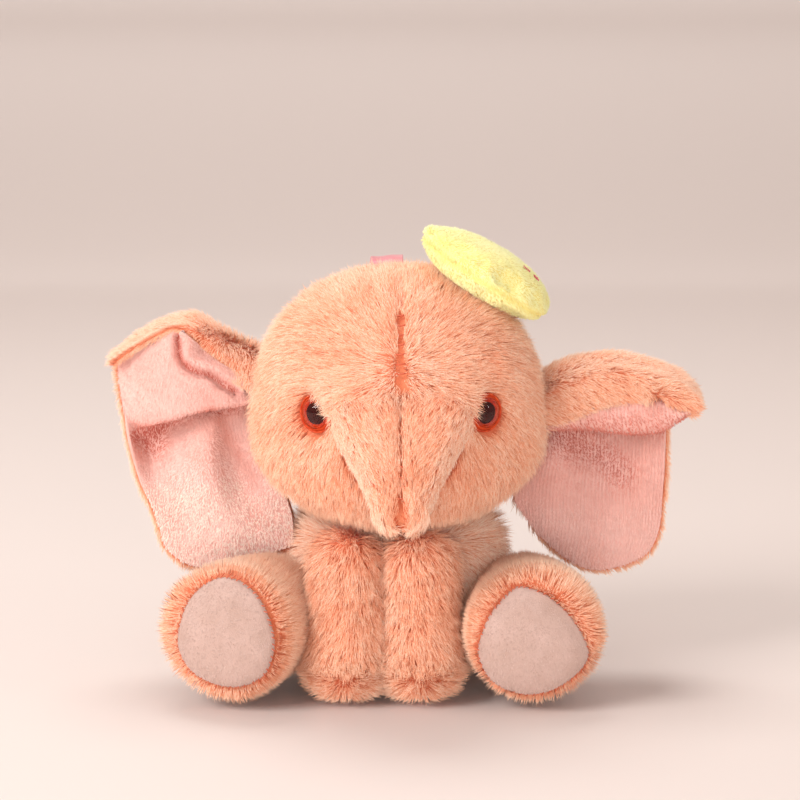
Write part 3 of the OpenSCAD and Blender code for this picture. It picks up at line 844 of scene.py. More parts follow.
for side in ("left", "right"):
    a, b = SHOULDER[side] + np.array([0, 0.8, 2.6]), FRONT_FOOT[side] + np.array([0, 0.6, -0.4])
    span = float(np.linalg.norm(b - a))
    inset = 0.7
    r = FRONT_LEG_R - inset
    leg = Skin(leg_grid(limb(r, r + inset, span, r - 0.3, 2, 26), a, b, 110), closed=True)
    leg.push(0.5 * noise(leg.points, 9, 12 + SIGN[side]))

    def front_flow(p, n):
        t = ((p - a) @ (b - a)) / ((b - a) @ (b - a))
        out = unit((p - a - t[:, None] * (b - a)))
        low = ease(0.72, 1.05, t)[:, None]
        f = np.tile(unit(b - a), (len(p), 1)) * (1 - 0.6 * low)
        f += out * 0.9 * low + np.array([0, -0.35, 0]) * low
        f[:, 0] += 0.25 * SIGN[side] * (1 - low[:, 0])
        f[:, 2] += 0.5 * low[:, 0] * ease(14, 6, p[:, 2])
        return f

    front_flow.stand = lambda p: 1 - 0.3 * ease(20, 10, p[:, 2])
    name = f"front_leg_{side}"
    fit(show(f"{name}_plush", leg, BACKING), name, "plush", f"{name}_cover", fill=0.7)
    # painted light: the fur near the floor is made paler, to lift the shade there
    grow(f"{name}_fur", leg, 8.5, lambda p,
         n: 6.2 + 0.6 * ease(24, 12, p[:, 2]) - 2.6 * ease(3.5, 1.5, p[:, 2]),
         front_flow, riding(name), 51 + SIGN[side], lean=(0.42, 0.74), wild=0.17, locks=0.36, lock=2.0,
         keep=lambda p, n: ~((n[:, 1] > 0.5) & (p[:, 2] > 12)) * 1.0 + 0.25 * (n[:, 1] > 0.5),
         tone=lambda p, n: -0.4 + 0.4 * noise(p, 5, 77) + 0.9 * ease(9, 4, p[:, 2]),
         front=lambda p, n: toward_light(unit(n + np.array([0, -1.2, 0.9]) * ease(13, 7, p[:, 2])[:, None])))

PAD_EDGE = {
    "right": [(0, 17), (8.6, 13.2), (14.0, 4.5), (15.2, -4.0), (11.4, -12.6), (1.5, -16.6), (-9.6, -13.6),
              (-15.2, -5.0), (-13.6, 6.0), (-7.6, 14.2)],
    "left": [(-3.6, 17.0), (4.6, 14.2), (12.2, 7.0), (17.2, -3.4), (13.8, -10.4), (5.4, -15.4), (-3.8, -16.2),
             (-12.0, -12.2), (-16.0, -3.4), (-13.6, 6.6), (-8.6, 13.6)],
}
PAD_SHIFT = {"right": (1.3, 0.6), "left": (-1.6, -1.8)}
PAD_POINTS, PAD_STITCHES = 160, 46


def sole_height(r):
    """The height of a hind leg's rounded sole above the hip, r from the leg's middle."""
    return HIND_LENGTH + HIND_CAP * np.maximum(1 - np.minimum(r / HIND_SOLE_R, 1) ** 3, 0) ** (1 / 3)


for side in ("left", "right"):
    a, b = HIP[side], FOOT[side]
    u, v, w = axes_between(a, b)
    u, v = (-u, -v) if v[2] < 0 else (u, v)
    profile = limb(HIND_R - 2.2, HIND_SOLE_R - 2.0, HIND_LENGTH, HIND_CAP - 1.2, 3, 30)
    leg = Skin(leg_grid(profile, a, b, 150), closed=True)
    outline = loop_through(PAD_EDGE[side], PAD_POINTS) * 0.97 + PAD_SHIFT[side]
    edge_angle = np.arctan2(outline[:, 1], outline[:, 0])
    order = np.argsort(edge_angle)
    edge_r = np.hypot(outline[:, 0], outline[:, 1])[order]
    edge_angle = edge_angle[order]

    def leg_place(p):
        """Across, up and along the leg, and how far outside the pad's edge."""
        rel = p - a
        x, y, h = rel @ u, rel @ v, rel @ w
        return x, y, h, np.hypot(x, y) - np.interp(np.arctan2(y, x), edge_angle, edge_r, period=2 * math.pi)

    _, _, h, gap = leg_place(leg.points)
    sole = h > HIND_LENGTH + 3
    leg.push(np.where(sole, -1.3 * bump(gap, 0.0, 1.3) + 0.6 * bump(gap, 3.0, 1.6), 0)
             + 0.5 * noise(leg.points, 12, 14))
    name = f"hind_leg_{side}"
    fit(show(f"{name}_plush", leg, BACKING), name, "plush", f"{name}_cover", fill=0.85)

    def hind_flow(p, n):
        x, y, h, _ = leg_place(p)
        out = unit(x[:, None] * u + y[:, None] * v)
        front = ease(HIND_LENGTH - 6, HIND_LENGTH + 5, h)[:, None]
        return out * (0.35 + 0.65 * front) - w * (1 - front)

    hind_flow.stand = lambda p: np.full(len(p), 0.9)

    def hind_length(p, n):
        _, _, h, gap = leg_place(p)
        near = (h > HIND_LENGTH + 2) * np.exp(-((gap / 2.4) ** 2))
        return 5.0 - 2.2 * near - 1.8 * ease(3.5, 1.5, p[:, 2])

    def hind_keep(p, n):
        _, _, h, gap = leg_place(p)
        inner = (h > HIND_LENGTH + 2) & (gap < -0.1)
        in_body = (np.hypot(p[:, 0] - BODY[0], p[:, 1] - BODY[1]) < 31) & (p[:, 2] < 44)
        return np.where(inner | in_body, 0.0, 1.0)

    grow(f"{name}_fur", leg, 8.5, hind_length, hind_flow, riding(name), 61 + SIGN[side], keep=hind_keep,
         lean=(0.22, 0.55), wild=0.16, locks=0.1, width=0.095, speckle=0.7, tone=lambda p,
         n: 0.3 * ease(-30, -45, p[:, 1]) + 0.8 * ease(30, 42, p[:, 2]))

    # the sole's pad: crowned velvet that is let into the plush
    rings = 34
    share = np.concatenate([np.linspace(0.002, 0.94, rings - 6), [0.965, 0.985, 1.0, 1.0, 0.985, 0.95]])
    drop = np.concatenate([np.zeros(rings - 6), [0.0, 0.12, 0.45, 0.9, 1.3, 1.4]])
    flat = outline[None] * share[:, None, None]
    reach = np.hypot(flat[..., 0], flat[..., 1])
    crown = 1.9 * (1 - np.clip(share, 0, 1)[:, None] ** 2.6)
    height = sole_height(reach) - 0.2 + crown - drop[:, None] * 1.4
    grid = a + flat[..., :1] * u + flat[..., 1:] * v + height[..., None] * w
    pad = Skin(grid, closed=True)
    pad.push(0.22 * noise(pad.points, 9, 15) + 0.1 * noise(pad.points, 3, 16))
    fit(show(f"sole_velvet_{side}", pad, VELVET), name, "sole_velvet", f"sole_pad_{side}", fill=0.5)
    grow(f"sole_nap_{side}", pad, 5.0, even(0.55), combed(0.1, 0, -1.0), riding(name), 71 + SIGN[side],
         materials=NAP, tones=1, most=4, width=0.09, lean=(0.4, 0.8),
         locks=0.2, speckle=0.6)
    # its seam: short slanted stitches round the pad
    stitches = []
    for k in range(PAD_STITCHES):
        start = k / PAD_STITCHES * PAD_POINTS
        mid = outline[int(start) % PAD_POINTS]
        way = unit(outline[int(start + 2) % PAD_POINTS] - mid)
        out = np.array([way[1], -way[0]]) * np.sign(np.dot([way[1], -way[0]], mid))
        line = []
        for q in np.linspace(-1, 1, 7):
            at = mid * 1.02 + way * 0.5 * q + out * 0.75 * q
            h = sole_height(np.hypot(*at)) - 0.75 + 0.45 * (1 - q * q)
            line.append(a + at[0] * u + at[1] * v + h * w)
        stitches.append(line)
    fit(tube(f"sole_thread_{side}", stitches, 0.17, THREAD), name, "thread", f"sole_stitches_{side}")

# ---------------- tail

tail_root, tail_way = np.array([1.0, 45.6, 19.5]), unit(np.array([0, 4.0, -12.0]))
tail_skin = Skin(leg_grid(limb(2.6, 2.0, 12, 2.0, 2, 16), tail_root, tail_root + tail_way, 60), closed=True)
fit(show("tail_plush", tail_skin, BACKING), "tail", "plush", "tail", fill=0.8)
grow("tail_fur", tail_skin, 6.0, lambda p, n: 5.0 + 2.5 * ease(14, 8, p[:, 2]), combed(*tail_way),
     riding("tail"), 81, lean=(0.4, 0.85), width=0.12)

# ---------------- ears

RIGHT_LINING = [
    [(-84.6, -2, 97.6), (-78, -4, 102), (-71.5, -5.5, 105.6), (-66, -6, 107.6), (-59.5, -6, 103),
     (-52.4, -5, 95.8), (-44, -1, 89.5)],
    [(-84.3, -2.5, 93), (-77.5, -5.5, 96), (-71, -7.2, 98), (-65, -7.6, 99), (-58, -7, 95.5),
     (-51, -5.5, 91.5), (-43, -2.5, 87.8)],
    [(-83.6, -2.5, 88), (-77, -6.5, 88.6), (-70.5, -8.2, 90), (-64, -8.8, 91), (-57.3, -8.4, 90),
     (-50.4, -7, 88), (-42.5, -4, 86.2)],
    [(-82.8, -2.6, 82.5), (-77.2, -5.0, 79.5), (-71, -9.3, 80.0), (-63.6, -10.0, 82.2), (-56.6, -9.4, 83.6),
     (-50.2, -7.6, 84.4), (-42, -5.0, 84.8)],
    [(-82.2, -2.6, 79.5), (-76.6, -0.5, 77.0), (-70.6, -1.2, 80.4), (-63.6, -1.0, 83.2), (-56.6, -0.5, 84.8),
     (-50.2, -0.5, 85.2), (-42, -0.5, 85.2)],
    [(-81.5, -2.6, 75), (-76.2, 2.6, 72.5), (-69.6, 2.4, 75.5), (-62.6, -3.0, 77.5), (-56, -4.0, 79),
     (-50.4, -0.2, 80), (-41.5, -1.0, 79.5)],
    [(-80, -2.6, 68), (-75.2, 1.8, 66.5), (-69, 0.4, 67), (-62, -6.4, 68.5), (-56, -7.0, 70),
     (-49.6, -0.2, 70), (-39.5, -1.0, 70)],
    [(-77.6, -2.8, 59), (-73.3, -1.6, 57), (-67.5, -2.8, 56.4), (-61, -6.0, 57), (-54, -6.8, 57.5),
     (-46.0, -1.6, 58), (-35, -0.5, 58.5)],
    [(-74.0, -2.8, 50), (-70.2, -3.5, 47.5), (-65, -3.8, 46.4), (-58.4, -5.0, 46), (-51, -5.6, 46),
     (-42.4, -3.6, 46.5), (-31.6, -0.5, 49)],
    [(-71.2, -2.6, 39.5), (-67.6, -4.0, 36.2), (-63.0, -4.8, 34.0), (-56.4, -5.4, 33.2), (-48.8, -5.4, 34.0),
     (-40.4, -3.6, 36.4), (-31.0, -1, 39.6)],
]
LEFT_LINING = [
    [(84.2, 1.2, 92), (79, 1.2, 93.5), (72.5, 1.2, 94.2), (66, 1.2, 94.2), (59.5, 1.2, 93.5),
     (53, 1.2, 92.5), (46.0, 1.0, 91)],
    [(84.0, 0.6, 84), (78.5, 1.0, 84), (72, 2.0, 84), (65.5, 2.6, 84), (59, 2.6, 84), (52.5, 2.0, 83),
     (45.6, 1.0, 82)],
    [(83.8, -1.6, 76), (78.4, -0.8, 75.5), (71.8, 1.8, 75), (65.2, 3.0, 75), (58.6, 2.4, 75),
     (51.6, 0.8, 75.5), (44.2, 1.0, 76)],
    [(83.7, -2.4, 68.5), (78.2, -2.6, 68), (71.6, -0.6, 67), (64.8, 1.6, 67), (57.6, 0.8, 68.5),
     (50.0, -2.6, 69), (41.2, -0.5, 69)],
    [(83.5, -2.6, 61), (78, -3.8, 60.5), (71.2, -3.0, 60), (64.2, -1.6, 60), (56.8, -2.4, 61),
     (48.6, -4.2, 61.5), (38.6, -1, 62)],
    [(83.1, -2.6, 53), (77.6, -4.2, 52), (70.6, -4.4, 51.5), (63.6, -4.2, 51.5), (56.0, -4.2, 52.5),
     (47.6, -4.0, 53.5), (37.4, -1, 55)],
    [(82.3, -2.4, 45), (77, -4.0, 43.5), (70, -4.8, 42.6), (63.0, -4.8, 42.6), (55.8, -4.4, 43.8),
     (48.4, -3.4, 46), (39.6, -1.4, 50.2)],
    [(79.6, -2.2, 38.2), (75, -3.6, 35.2), (69, -4.4, 33.2), (62.6, -4.4, 32.6), (57.0, -3.8, 34.0),
     (51.4, -2.6, 37.6), (45.0, -1.4, 43.6)],
]
CURL = np.array([(-64.6, 105.0), (-63.8, 99.4), (-60.2, 96.4), (-55.6, 95.0), (-51.5, 92.0), (-48.4, 90.0)])


def border_of(g):
    return np.concatenate([g[0, :-1], g[:-1, -1], g[-1, :0:-1], g[:0:-1, 0]])


def sheet_mesh(name, front, thick, material, rim=0.35, smooth_front=None):
    """A closed sheet: its front grid, a back one behind it, and a rounded rim between them."""
    rows, columns = front.shape[:2]
    smooth = front if smooth_front is None else smooth_front
    n = Skin(smooth).normals.reshape(rows, columns, 3)
    back = smooth - n * thick
    index = np.arange(rows * columns).reshape(rows, columns)
    ring = border_of(index)
    outward = border_of(front) - front.reshape(-1, 3)[ring_inside(rows, columns)]
    edge = border_of(front - n * thick * 0.5) + unit(outward) * rim
    points = np.concatenate([front.reshape(-1, 3), back.reshape(-1, 3), edge])
    quads = Skin(front).quads
    behind = quads[:, ::-1] + rows * columns
    k = np.arange(len(ring))
    rim_id = 2 * rows * columns + k
    nxt = (k + 1) % len(ring)
    front_rim = np.stack([ring[nxt], ring[k], rim_id[k], rim_id[nxt]], 1)
    back_rim = np.stack([rim_id[nxt], rim_id[k], ring[k] + rows * columns, ring[nxt] + rows * columns], 1)
    faces = np.concatenate([quads, behind, front_rim, back_rim])
    front_uv = Skin(front).uv * np.array([0.48, 0.95])
    t = np.stack([k, k + 1], 1) / len(ring) * 0.98 + 0.01
    rim_uv = np.stack([np.stack([t[:, 1], 0 * k + 0.965], 1), np.stack([t[:, 0], 0 * k + 0.965], 1),
                       np.stack([t[:, 0], 0 * k + 0.975], 1), np.stack([t[:, 1], 0 * k + 0.975], 1)], 1)
    uv = np.concatenate([front_uv, front_uv[:, ::-1] + np.array([0.5, 0]), rim_uv,
                         rim_uv + np.array([0, 0.015])])
    return set_mesh(name, points, faces, [material], uv=uv)


def ring_inside(rows, columns):
    """For each border point, the grid point next to it on the inside."""
    r, c = np.meshgrid(np.arange(rows), np.arange(columns), indexing="ij")
    r, c = border_of(r), border_of(c)
    return np.clip(r, 1, rows - 2) * columns + np.clip(c, 1, columns - 2)


def ribs(front, step, amount):
    """Fine upright ribs in the cloth."""
    rows, columns = front.shape[:2]
    across = np.cumsum(np.linalg.norm(np.diff(front, axis=1, prepend=front[:, :1]), axis=2), axis=1)
    n = Skin(front).normals.reshape(rows, columns, 3)
    wave = np.cos(across * 2 * math.pi / step)
    return front + n * (wave * amount)[..., None]


def ear_front(control, curl):
    front = patch(control, 150, 230)
    flat = front.reshape(-1, 3)
    n = Skin(front).normals
    n = n * np.sign(-n[:, 1].mean())
    lift = 0.35 * noise(flat, 8, 91) + 0.5 * noise(flat, 15, 92)
    if curl:
        d = distance_to_line(flat[:, [0, 2]], through(CURL, 40))
        roll = np.where(d > 0, np.clip(d / 1.0, 0, 1) * np.exp(-((d - 1.0) / 4.0) ** 2), 0)
        near = ease(-45.5, -48, flat[:, 0])
        lift = lift + 4.2 * roll * near - 2.0 * bump(d, -1.1, 1.3) * near
    return (flat + n * lift[:, None]).reshape(front.shape)


# lines along which the ear linings' nap gets painted shade
CREASE = np.array([(-80.0, 76.0), (-75.0, 77.0), (-70.0, 79.5), (-62.0, 82.3), (-55.0, 83.8), (-43.0, 84.6)])
GROOVE = np.array([(-56.0, 84.0), (-52.0, 76.0), (-47.0, 66.0), (-42.0, 58.0)])
HOLLOW = np.array([(43.0, 76.0), (51.0, 72.6), (59.0, 69.8), (65.5, 66.6), (71.0, 62.5)])


def lining_painted_shade(p, n):
    """Painted shade: the nap is made darker and rosier where shade falls in the folds: under the right ear's
    crease, in its pocket, along its groove and under its curl, and on the left ear along its hollow and under
    the rolled strip.
    """
    flat = p[:, [0, 2]]
    pocket = np.exp(-(np.hypot((p[:, 0] + 75.5) / 6.5, (p[:, 2] - 71.5) / 7.0) ** 2))
    under = (bump(distance_to_line(flat, CREASE), -1.8, 2.2) + 1.5 * pocket
             + 0.6 * bump(distance_to_line(flat, GROOVE), 0, 2.4))
    roll = 1.6 * bump(distance_to_line(flat, through(CURL, 20)), -1.2, 1.3) * ease(-46, -49, p[:, 0])
    right = 1.3 + 2.2 * ease(74, 52, p[:, 2]) - 3.2 * under - 3.0 * roll
    left = (0.3 - 3.0 * bump(distance_to_line(flat, HOLLOW), 0, 5.0) - 2.4 * ease(71.5, 75.5, p[:, 2])
            + ease(60, 45, p[:, 2]))
    return np.where(p[:, 0] < 0, right, left)


# each ear: its lining's points, whether it has a curl, and its lining's and its plush back's flat sizes
EARS = (("right", RIGHT_LINING, True, (0.048, 0.082), (0.050, 0.076)),
        ("left", LEFT_LINING, False, (0.046, 0.064), (0.047, 0.066)))
for side, control, curl, flat_size, shell_size in EARS:
    front = ear_front(control, curl)
    smooth = facing(front, (0, -1, 0))
    front = ribs(smooth, 1.1, 0.1 if side == "left" else 0.04)
    name = f"ear_{side}"
    obj = sheet_mesh(f"{name}_velour", front, 1.2, LINING, smooth_front=smooth)
    fit(obj, name, "ear_velour", f"{name}_lining", flat=flat_size)
    # the nap's tone carries painted shade in the lining's folds
    grow(f"{name}_nap", Skin(front), 8.0, even(0.9), combed(0.1 * SIGN[side], 0, -1.0), riding(name),
         93 + SIGN[side], materials=VELOUR, tones=1, most=8, width=0.095,
         lean=(0.3, 0.7), locks=0.3, tone=lining_painted_shade, speckle=0.42)

    # the plush back: a shell behind the lining that comes round its edges
    rows, columns = 90, 110
    g = patch(control, rows, columns)
    outer = np.linspace(0, 1, columns)[None, :]
    low = 1 - np.linspace(0, 1, rows)[:, None]
    near = np.minimum(np.clip(outer / 0.14, 0, 1), np.clip(low / 0.10, 0, 1))
    round_in = np.sqrt(1 - (1 - near) ** 2)
    back = g.copy()
    back[..., 1] = np.minimum(g[..., 1] + 0.9, 0.5) * (1 - round_in) + 6.2 * round_in
    shell = Skin(facing(back, (0, 1, 0)))
    shell.push(0.4 * noise(shell.points, 10, 95))
    fit(show(f"{name}_plush", shell, BACKING), name, "plush", f"{name}_back", flat=shell_size)
    root = np.array([HEAD[0] + SIGN[side] * 44.3, 2.0, 84.0])

    def ear_flow(p, n):
        f = unit((p - root) * np.array([1, 0.2, 1]))
        f[:, 2] -= 0.3
        return f

    edge_line = border_of(patch(control, 12, 12))[:, [0, 2]]
    edge_line = np.concatenate([edge_line, edge_line[:1]])

    def ear_edge(p):
        return np.abs(distance_to_line(p[:, [0, 2]], edge_line))

    def ear_keep(p, n):
        top = np.array(control[0], float)
        order = np.argsort(top[:, 0])
        return (p[:, 2] < np.interp(p[:, 0], top[order, 0], top[order, 2]) - 2.5) * 1.0

    # painted light: the fur near the ear's edges is made paler, to lift the shade on the fringe
    grow(f"{name}_fur", shell, 6.5, lambda p, n: 5.2 - 1.8 * ease(4, 1, ear_edge(p)) * (np.abs(p[:, 0]) > 44),
         ear_flow, riding(name), 97 + SIGN[side], lean=(0.4, 0.8), wild=0.17, locks=0.22, width=0.095,
         tone=lambda p, n: 0.4 + 1.4 * ease(5, 2, ear_edge(p)), keep=ear_keep,
         front=lambda p, n: unit(n
                                 + np.array([0, -2.6, 0.9])
                                 * (ease(5, 2.5, ear_edge(p)) * ease(0.8, 0.35, n[:, 1]))[:, None]))


def tuck(x):
    """How far a fold's back edge runs down behind the ear, which it passes at the ear's outer edge."""
    return float(15 - 12.5 * ease(77, 87, np.array(abs(x))))


# the right ear's turned over top
RIGHT_TOP = [[(x, 5.2, top - tuck(x)), (x, 6.8, top - 0.47 * tuck(x)), (x, 3.4, top - 1.6),
              (x, -0.8, top - 1.4), (x, -4.2, top - 3.0),
              (x * 0.998, -6.4, (top + edge) / 2 - 0.6), (x * 0.997, -6.6, edge + 0.9),
              (x * 0.996, -5.0, edge + 0.2)]
             for x, top, edge in ((-85.2, 99.5, 97.4), (-78.6, 104.6, 101.9), (-72.0, 108.4, 105.6),
                                  (-66.0, 110.8, 107.8), (-60.4, 111.2, 104.4), (-54.6, 108.0, 98.4),
                                  (-48.0, 104.0, 92.4), (-40.6, 100.6, 87.6))]
# the left ear's lobe that hangs over its front
LEFT_LOBE = [[(x, 5.2, top - tuck(x)), (x, 6.6, top - 0.47 * tuck(x)), (x, 3.2, top - 1.8),
              (x, -1.6, top - 1.0), (x, -5.6, top - 3.0),
              (x, -8.4, (2 * top + edge) / 3), (x, -9.6, (top + 2 * edge) / 3), (x, -9.2, edge + 1.5),
              (x, -7.0, edge + 0.2)]
             for x, top, edge in ((43.2, 90.4, 78.0), (50.6, 95.4, 79.6), (58.6, 98.2, 82.8),
                                  (66.2, 99.2, 85.2),
                                  (73.2, 98.4, 86.0), (80.2, 96.4, 86.0), (86.6, 93.6, 84.0),
                                  (91.0, 90.2, 82.4),
                                  (92.6, 87.2, 83.4))]
# where the left lobe is drawn in to a point
PUCKER = np.array([81.5, -9, 87.0])
for side, control, flat_size in (("right", RIGHT_TOP, (0.025, 0.048)), ("left", LEFT_LOBE, (0.034, 0.052))):
    grid = patch(np.array(control), 150, 60)
    fold = Skin(facing(grid, (0, 0, 1)))
    d = np.hypot(fold.points[:, 0] - PUCKER[0], fold.points[:, 2] - PUCKER[2])
    pinch = -1.5 * np.exp(-((d / 2.4) ** 2)) * (fold.points[:, 1] < -3) if side == "left" else 0 * d
    fold.push(pinch + 0.4 * noise(fold.points, 9, 101))
    fit(show(f"ear_{side}_fold", fold, BACKING), f"ear_{side}", "plush", flat=flat_size)

    def fold_flow(p, n):
        f = np.zeros_like(p)
        f[:, 0] = SIGN[side] * 0.8
        f[:, 2] = -0.5 * ease(0, -6, p[:, 1]) + 0.25 * ease(-4, 2, p[:, 1])
        f[:, 1] = -0.2
        if side == "left":
            away = p - PUCKER
            r = np.linalg.norm(away, axis=1)
            f += unit(away) * (1.6 * np.exp(-((r / 5) ** 2)))[:, None]
        else:
            f[:, 0] *= ease(-44, -60, p[:, 0]) + 0.2
            f[:, 2] -= 0.6 * ease(-64, -52, p[:, 0])
        return f

    # painted light: the fold's fur is made paler where it faces up toward the light, and on the right fold's
    # inner part to lift its shade
    grow(f"ear_{side}_fold_fur", fold, 11.0, lambda p,
         n: 3.9 - 1.4 * ease(-4, -6.6, p[:, 1]) * (side == "right"), fold_flow,
         riding(f"ear_{side}"), 103 + SIGN[side], lean=(0.4, 0.78), wild=0.13, locks=0.08, width=0.09,
         speckle=0.8,
         tone=lambda p, n: 0.6 + 1.1 * ease(0.2, 0.9, n[:, 2])
         + 0.9 * ease(-60, -48, p[:, 0]) * (p[:, 0] < 0),
         front=lambda p, n: unit(n + np.array([0, -1.3, 0.7]) * ease(0.6, 0.1, n[:, 1])[:, None]))

# the strip of lining that rolls out from under the left ear's lobe
STRIP = [[(x, -6.4, up + 0.8), (x, -9.0, up - 0.6), (x, -10.2, (up + low) / 2 + 0.5), (x, -9.4, low + 0.9),
          (x, -6.6, low),
          (x, -3.4, low + 2.2), (x, -1.0, low + 5.0)]
         for x, up, low in ((43.6, 78.2, 77.4), (50, 79.6, 77.0), (56, 82.2, 77.2), (61, 84.0, 77.2),
                            (66, 85.4, 76.6), (72, 86.0, 76.0),
                            (78, 86.0, 76.0), (83, 85.4, 77.0), (87.6, 83.8, 79.8), (90.6, 83.6, 81.8))]
strip = patch(np.array(STRIP).transpose(1, 0, 2), 60, 230)
smooth = facing(strip, (0, -1, 0))
strip = ribs(smooth, 1.15, 0.14)
obj = sheet_mesh("ear_left_rolled_velour", strip, 1.0, LINING, smooth_front=smooth)
fit(obj, "ear_left", "ear_velour", flat=(0.016, 0.048))
# painted light and shade: the strip's nap is made darker as painted shade, and paler where it faces up toward
# the light
grow("ear_left_rolled_nap", Skin(strip), 6.0, even(0.9), combed(0.4, 0, -0.8),
     riding("ear_left"), 107, materials=VELOUR, tones=1, most=8, width=0.095,
     lean=(0.3, 0.7), locks=0.3,
     tone=lambda p, n: -2.0 + 2.0 * ease(-0.2, 0.7, n[:, 2]), speckle=0.5)

# ---------------- eyes

AMBER = plain("eye_amber", (248, 170, 120), 0.03, Transmission_Weight=1.0, IOR=1.14, Coat_Weight=0.6,
              Coat_Roughness=0.03)
AMBER_RIM = plain("eye_amber_rim", (214, 80, 42), 0.4, Specular_IOR_Level=0.08)
IRIS = cloth("eye_iris", (186, 52, 26), (226, 98, 54), 0.0012, rough=0.3, depth=0.1, sheen=0.0)
PUPIL = plain("eye_pupil", (60, 4, 4), 0.6, Specular_IOR_Level=0.1)
for side in ("left", "right"):
    place, out, across, up = EYES[side]
    place = place - out * 1.3

    def disc(profile, columns=64):
        t = np.linspace(0, 2 * math.pi, columns, endpoint=False)
        p = np.asarray(profile, float)
        ring = np.cos(t)[None, :, None] * across + np.sin(t)[None, :, None] * up
        return place + p[:, :1, None] * ring + p[:, 1:, None] * out

    ball = (EYE_R**2 + EYE_DOME**2) / (2 * EYE_DOME)
    t = np.linspace(0.004, 1, 26)
    dome = [[(EYE_R - 0.6) * x, math.sqrt(ball**2 - ((EYE_R - 0.6) * x) ** 2) + EYE_DOME - ball] for x in t]
    dome += [[EYE_R - 0.55, 0.7], [EYE_R - 0.6, 0.5], [EYE_R - 0.8, 0.1], [3.0, -0.2], [0.02, -0.2]]
    lens = Skin(disc(dome), closed=True, flip=True)
    rel = lens.points - place
    far = np.hypot(rel @ across, rel @ up)[lens.quads].mean(1)
    obj = set_mesh(f"eye_{side}_dome", lens.points, lens.quads, [AMBER, AMBER_RIM], far > 4.5, uv=lens.uv)
    fit(obj, "head", "eye_plastic", f"eye_{side}")
    iris = [[0.02, 0.2], [2.6, 0.3], [3.4, 0.9], [4.0, 1.3], [4.5, 1.15], [4.9, 0.6], [5.05, 0.3],
            [EYE_R - 0.5, 0.3], [EYE_R - 0.45, 1.15], [EYE_R - 0.2, 1.3], [EYE_R + 0.1, 1.0],
            [EYE_R + 0.2, 0.4], [EYE_R + 0.12, -0.3], [EYE_R - 0.3, -0.7], [0.02, -0.7]]
    fit(show(f"eye_{side}_iris", Skin(disc(iris), closed=True), IRIS), "head", "eye_plastic")
    pupil = [[0.02, 1.7], [1.6, 1.55], [2.7, 1.15], [3.3, 0.55], [3.2, -0.1], [0.02, -0.15]]
    fit(show(f"eye_{side}_pupil", Skin(disc(pupil), closed=True), PUPIL), "head", "eye_plastic")
    post = [[0.02, -0.5], [1.6, -0.5], [1.6, -7.0], [1.2, -7.4], [0.02, -7.4]]
    fit(show(f"eye_{side}_post", Skin(disc(post, 24), closed=True), IRIS), "head", "eye_plastic")

# ---------------- stitches

def seam_line(skin, x, low, high, count, way):
    """Points down the seam on a skin's front, from the skin's own vertices."""
    p, n = skin.points, skin.normals
    near = (np.abs(p[:, 0] - x) < 1.2) & (n @ way > 0.1)
    order = np.argsort(p[near][:, 2])
    z, y = p[near][order][:, 2], p[near][order][:, 1]
    at = np.linspace(low, high, count)
    return np.stack([np.full(count, x), np.interp(at, z, y), at], 1)


forehead = seam_line(head, SEAM_X, 101, 118.5, 8, np.array([0, -1.0, 0.2]))
lines = [[c + np.array([q * 1.5, -2.7 + 0.9 * q * q, 0.15 * q]) for q in np.linspace(-1, 1, 9)]
         for c in forehead]
fit(tube("forehead_thread", lines, 0.26, THREAD), "head", "thread", "forehead_stitches")
lines = []
for s in np.linspace(10, 29, 7):
    top = np.interp(s, TRUNK_S, TRUNK_TOP) - 1.0
    c = TRUNK + TRUNK_DIR * s + TRUNK_UP * (top + 2.4)
    c[0] = SEAM_X
    lines.append([c + np.array([q * 2.0, 0, 0]) - TRUNK_UP * 0.9 * q * q + TRUNK_DIR * 0.4 * q
                  for q in np.linspace(-1, 1, 9)])
fit(tube("trunk_thread", lines, 0.27, THREAD), "trunk", "thread", "trunk_stitches")
lines = []
for k in range(5):
    z = 25 + 2.6 * k
    rise = max(0, z - TOP_Z) / (BODY_HEIGHT - TOP_Z)
    y = BODY[1] + TOP_R + (BODY_R - TOP_R) * math.sqrt(1 - rise * rise)
    lines.append([np.array([1 + q * 1.7, y - 0.3 - 0.6 * q * q, z + 0.3 * q]) for q in np.linspace(-1, 1, 9)])
fit(tube("back_thread", lines, 0.28, THREAD), "body", "thread", "back_stitches")

# ---------------- cap

# the cushion's place beside the head's middle, its radius and half its height; its rows end near the poles
CAP_SIDE, CAP_R, CAP_HALF, CAP_POLE = 23.0, 21.4, 5.6, 89.99
CAP_ROWS, CAP_COLUMNS = 70, 150
lean = math.radians(33.4)
rise = HEAD_UP * (1 - (CAP_SIDE / HEAD_R) ** 2.2) ** (1 / 2.2)
CAP = np.array([HEAD[0] + CAP_SIDE + 5.7 * math.sin(lean), -5.0, 80 + rise + 5.7 * math.cos(lean)])
CAP_U = np.array([math.cos(lean), 0, -math.sin(lean)])
CAP_V = np.array([0, 1.0, 0])
CAP_W = np.array([math.sin(lean), 0, math.cos(lean)])


def cap_grid(rows, columns):
    a = np.radians(np.linspace(-CAP_POLE, CAP_POLE, rows))
    t = np.linspace(0, 2 * math.pi, columns, endpoint=False)
    lobes = 1 + 0.025 * np.cos(3 * t + 0.6) + 0.015 * np.cos(5 * t + 1.9)
    r = CAP_R * np.cos(a)[:, None] ** (2 / 2.6) * lobes[None]
    h = np.repeat((np.sign(a) * CAP_HALF * np.abs(np.sin(a)) ** (2 / 2.2))[:, None], columns, 1)
    x, y = r * np.cos(t), r * np.sin(t)
    h = h * (1.06 + 0.14 * x / 21) + 0.35 * np.sin(x / 5.2 + 0.8) + 0.3 * np.cos(y / 6)
    return x[..., None] * CAP_U + y[..., None] * CAP_V + h[..., None] * CAP_W + CAP


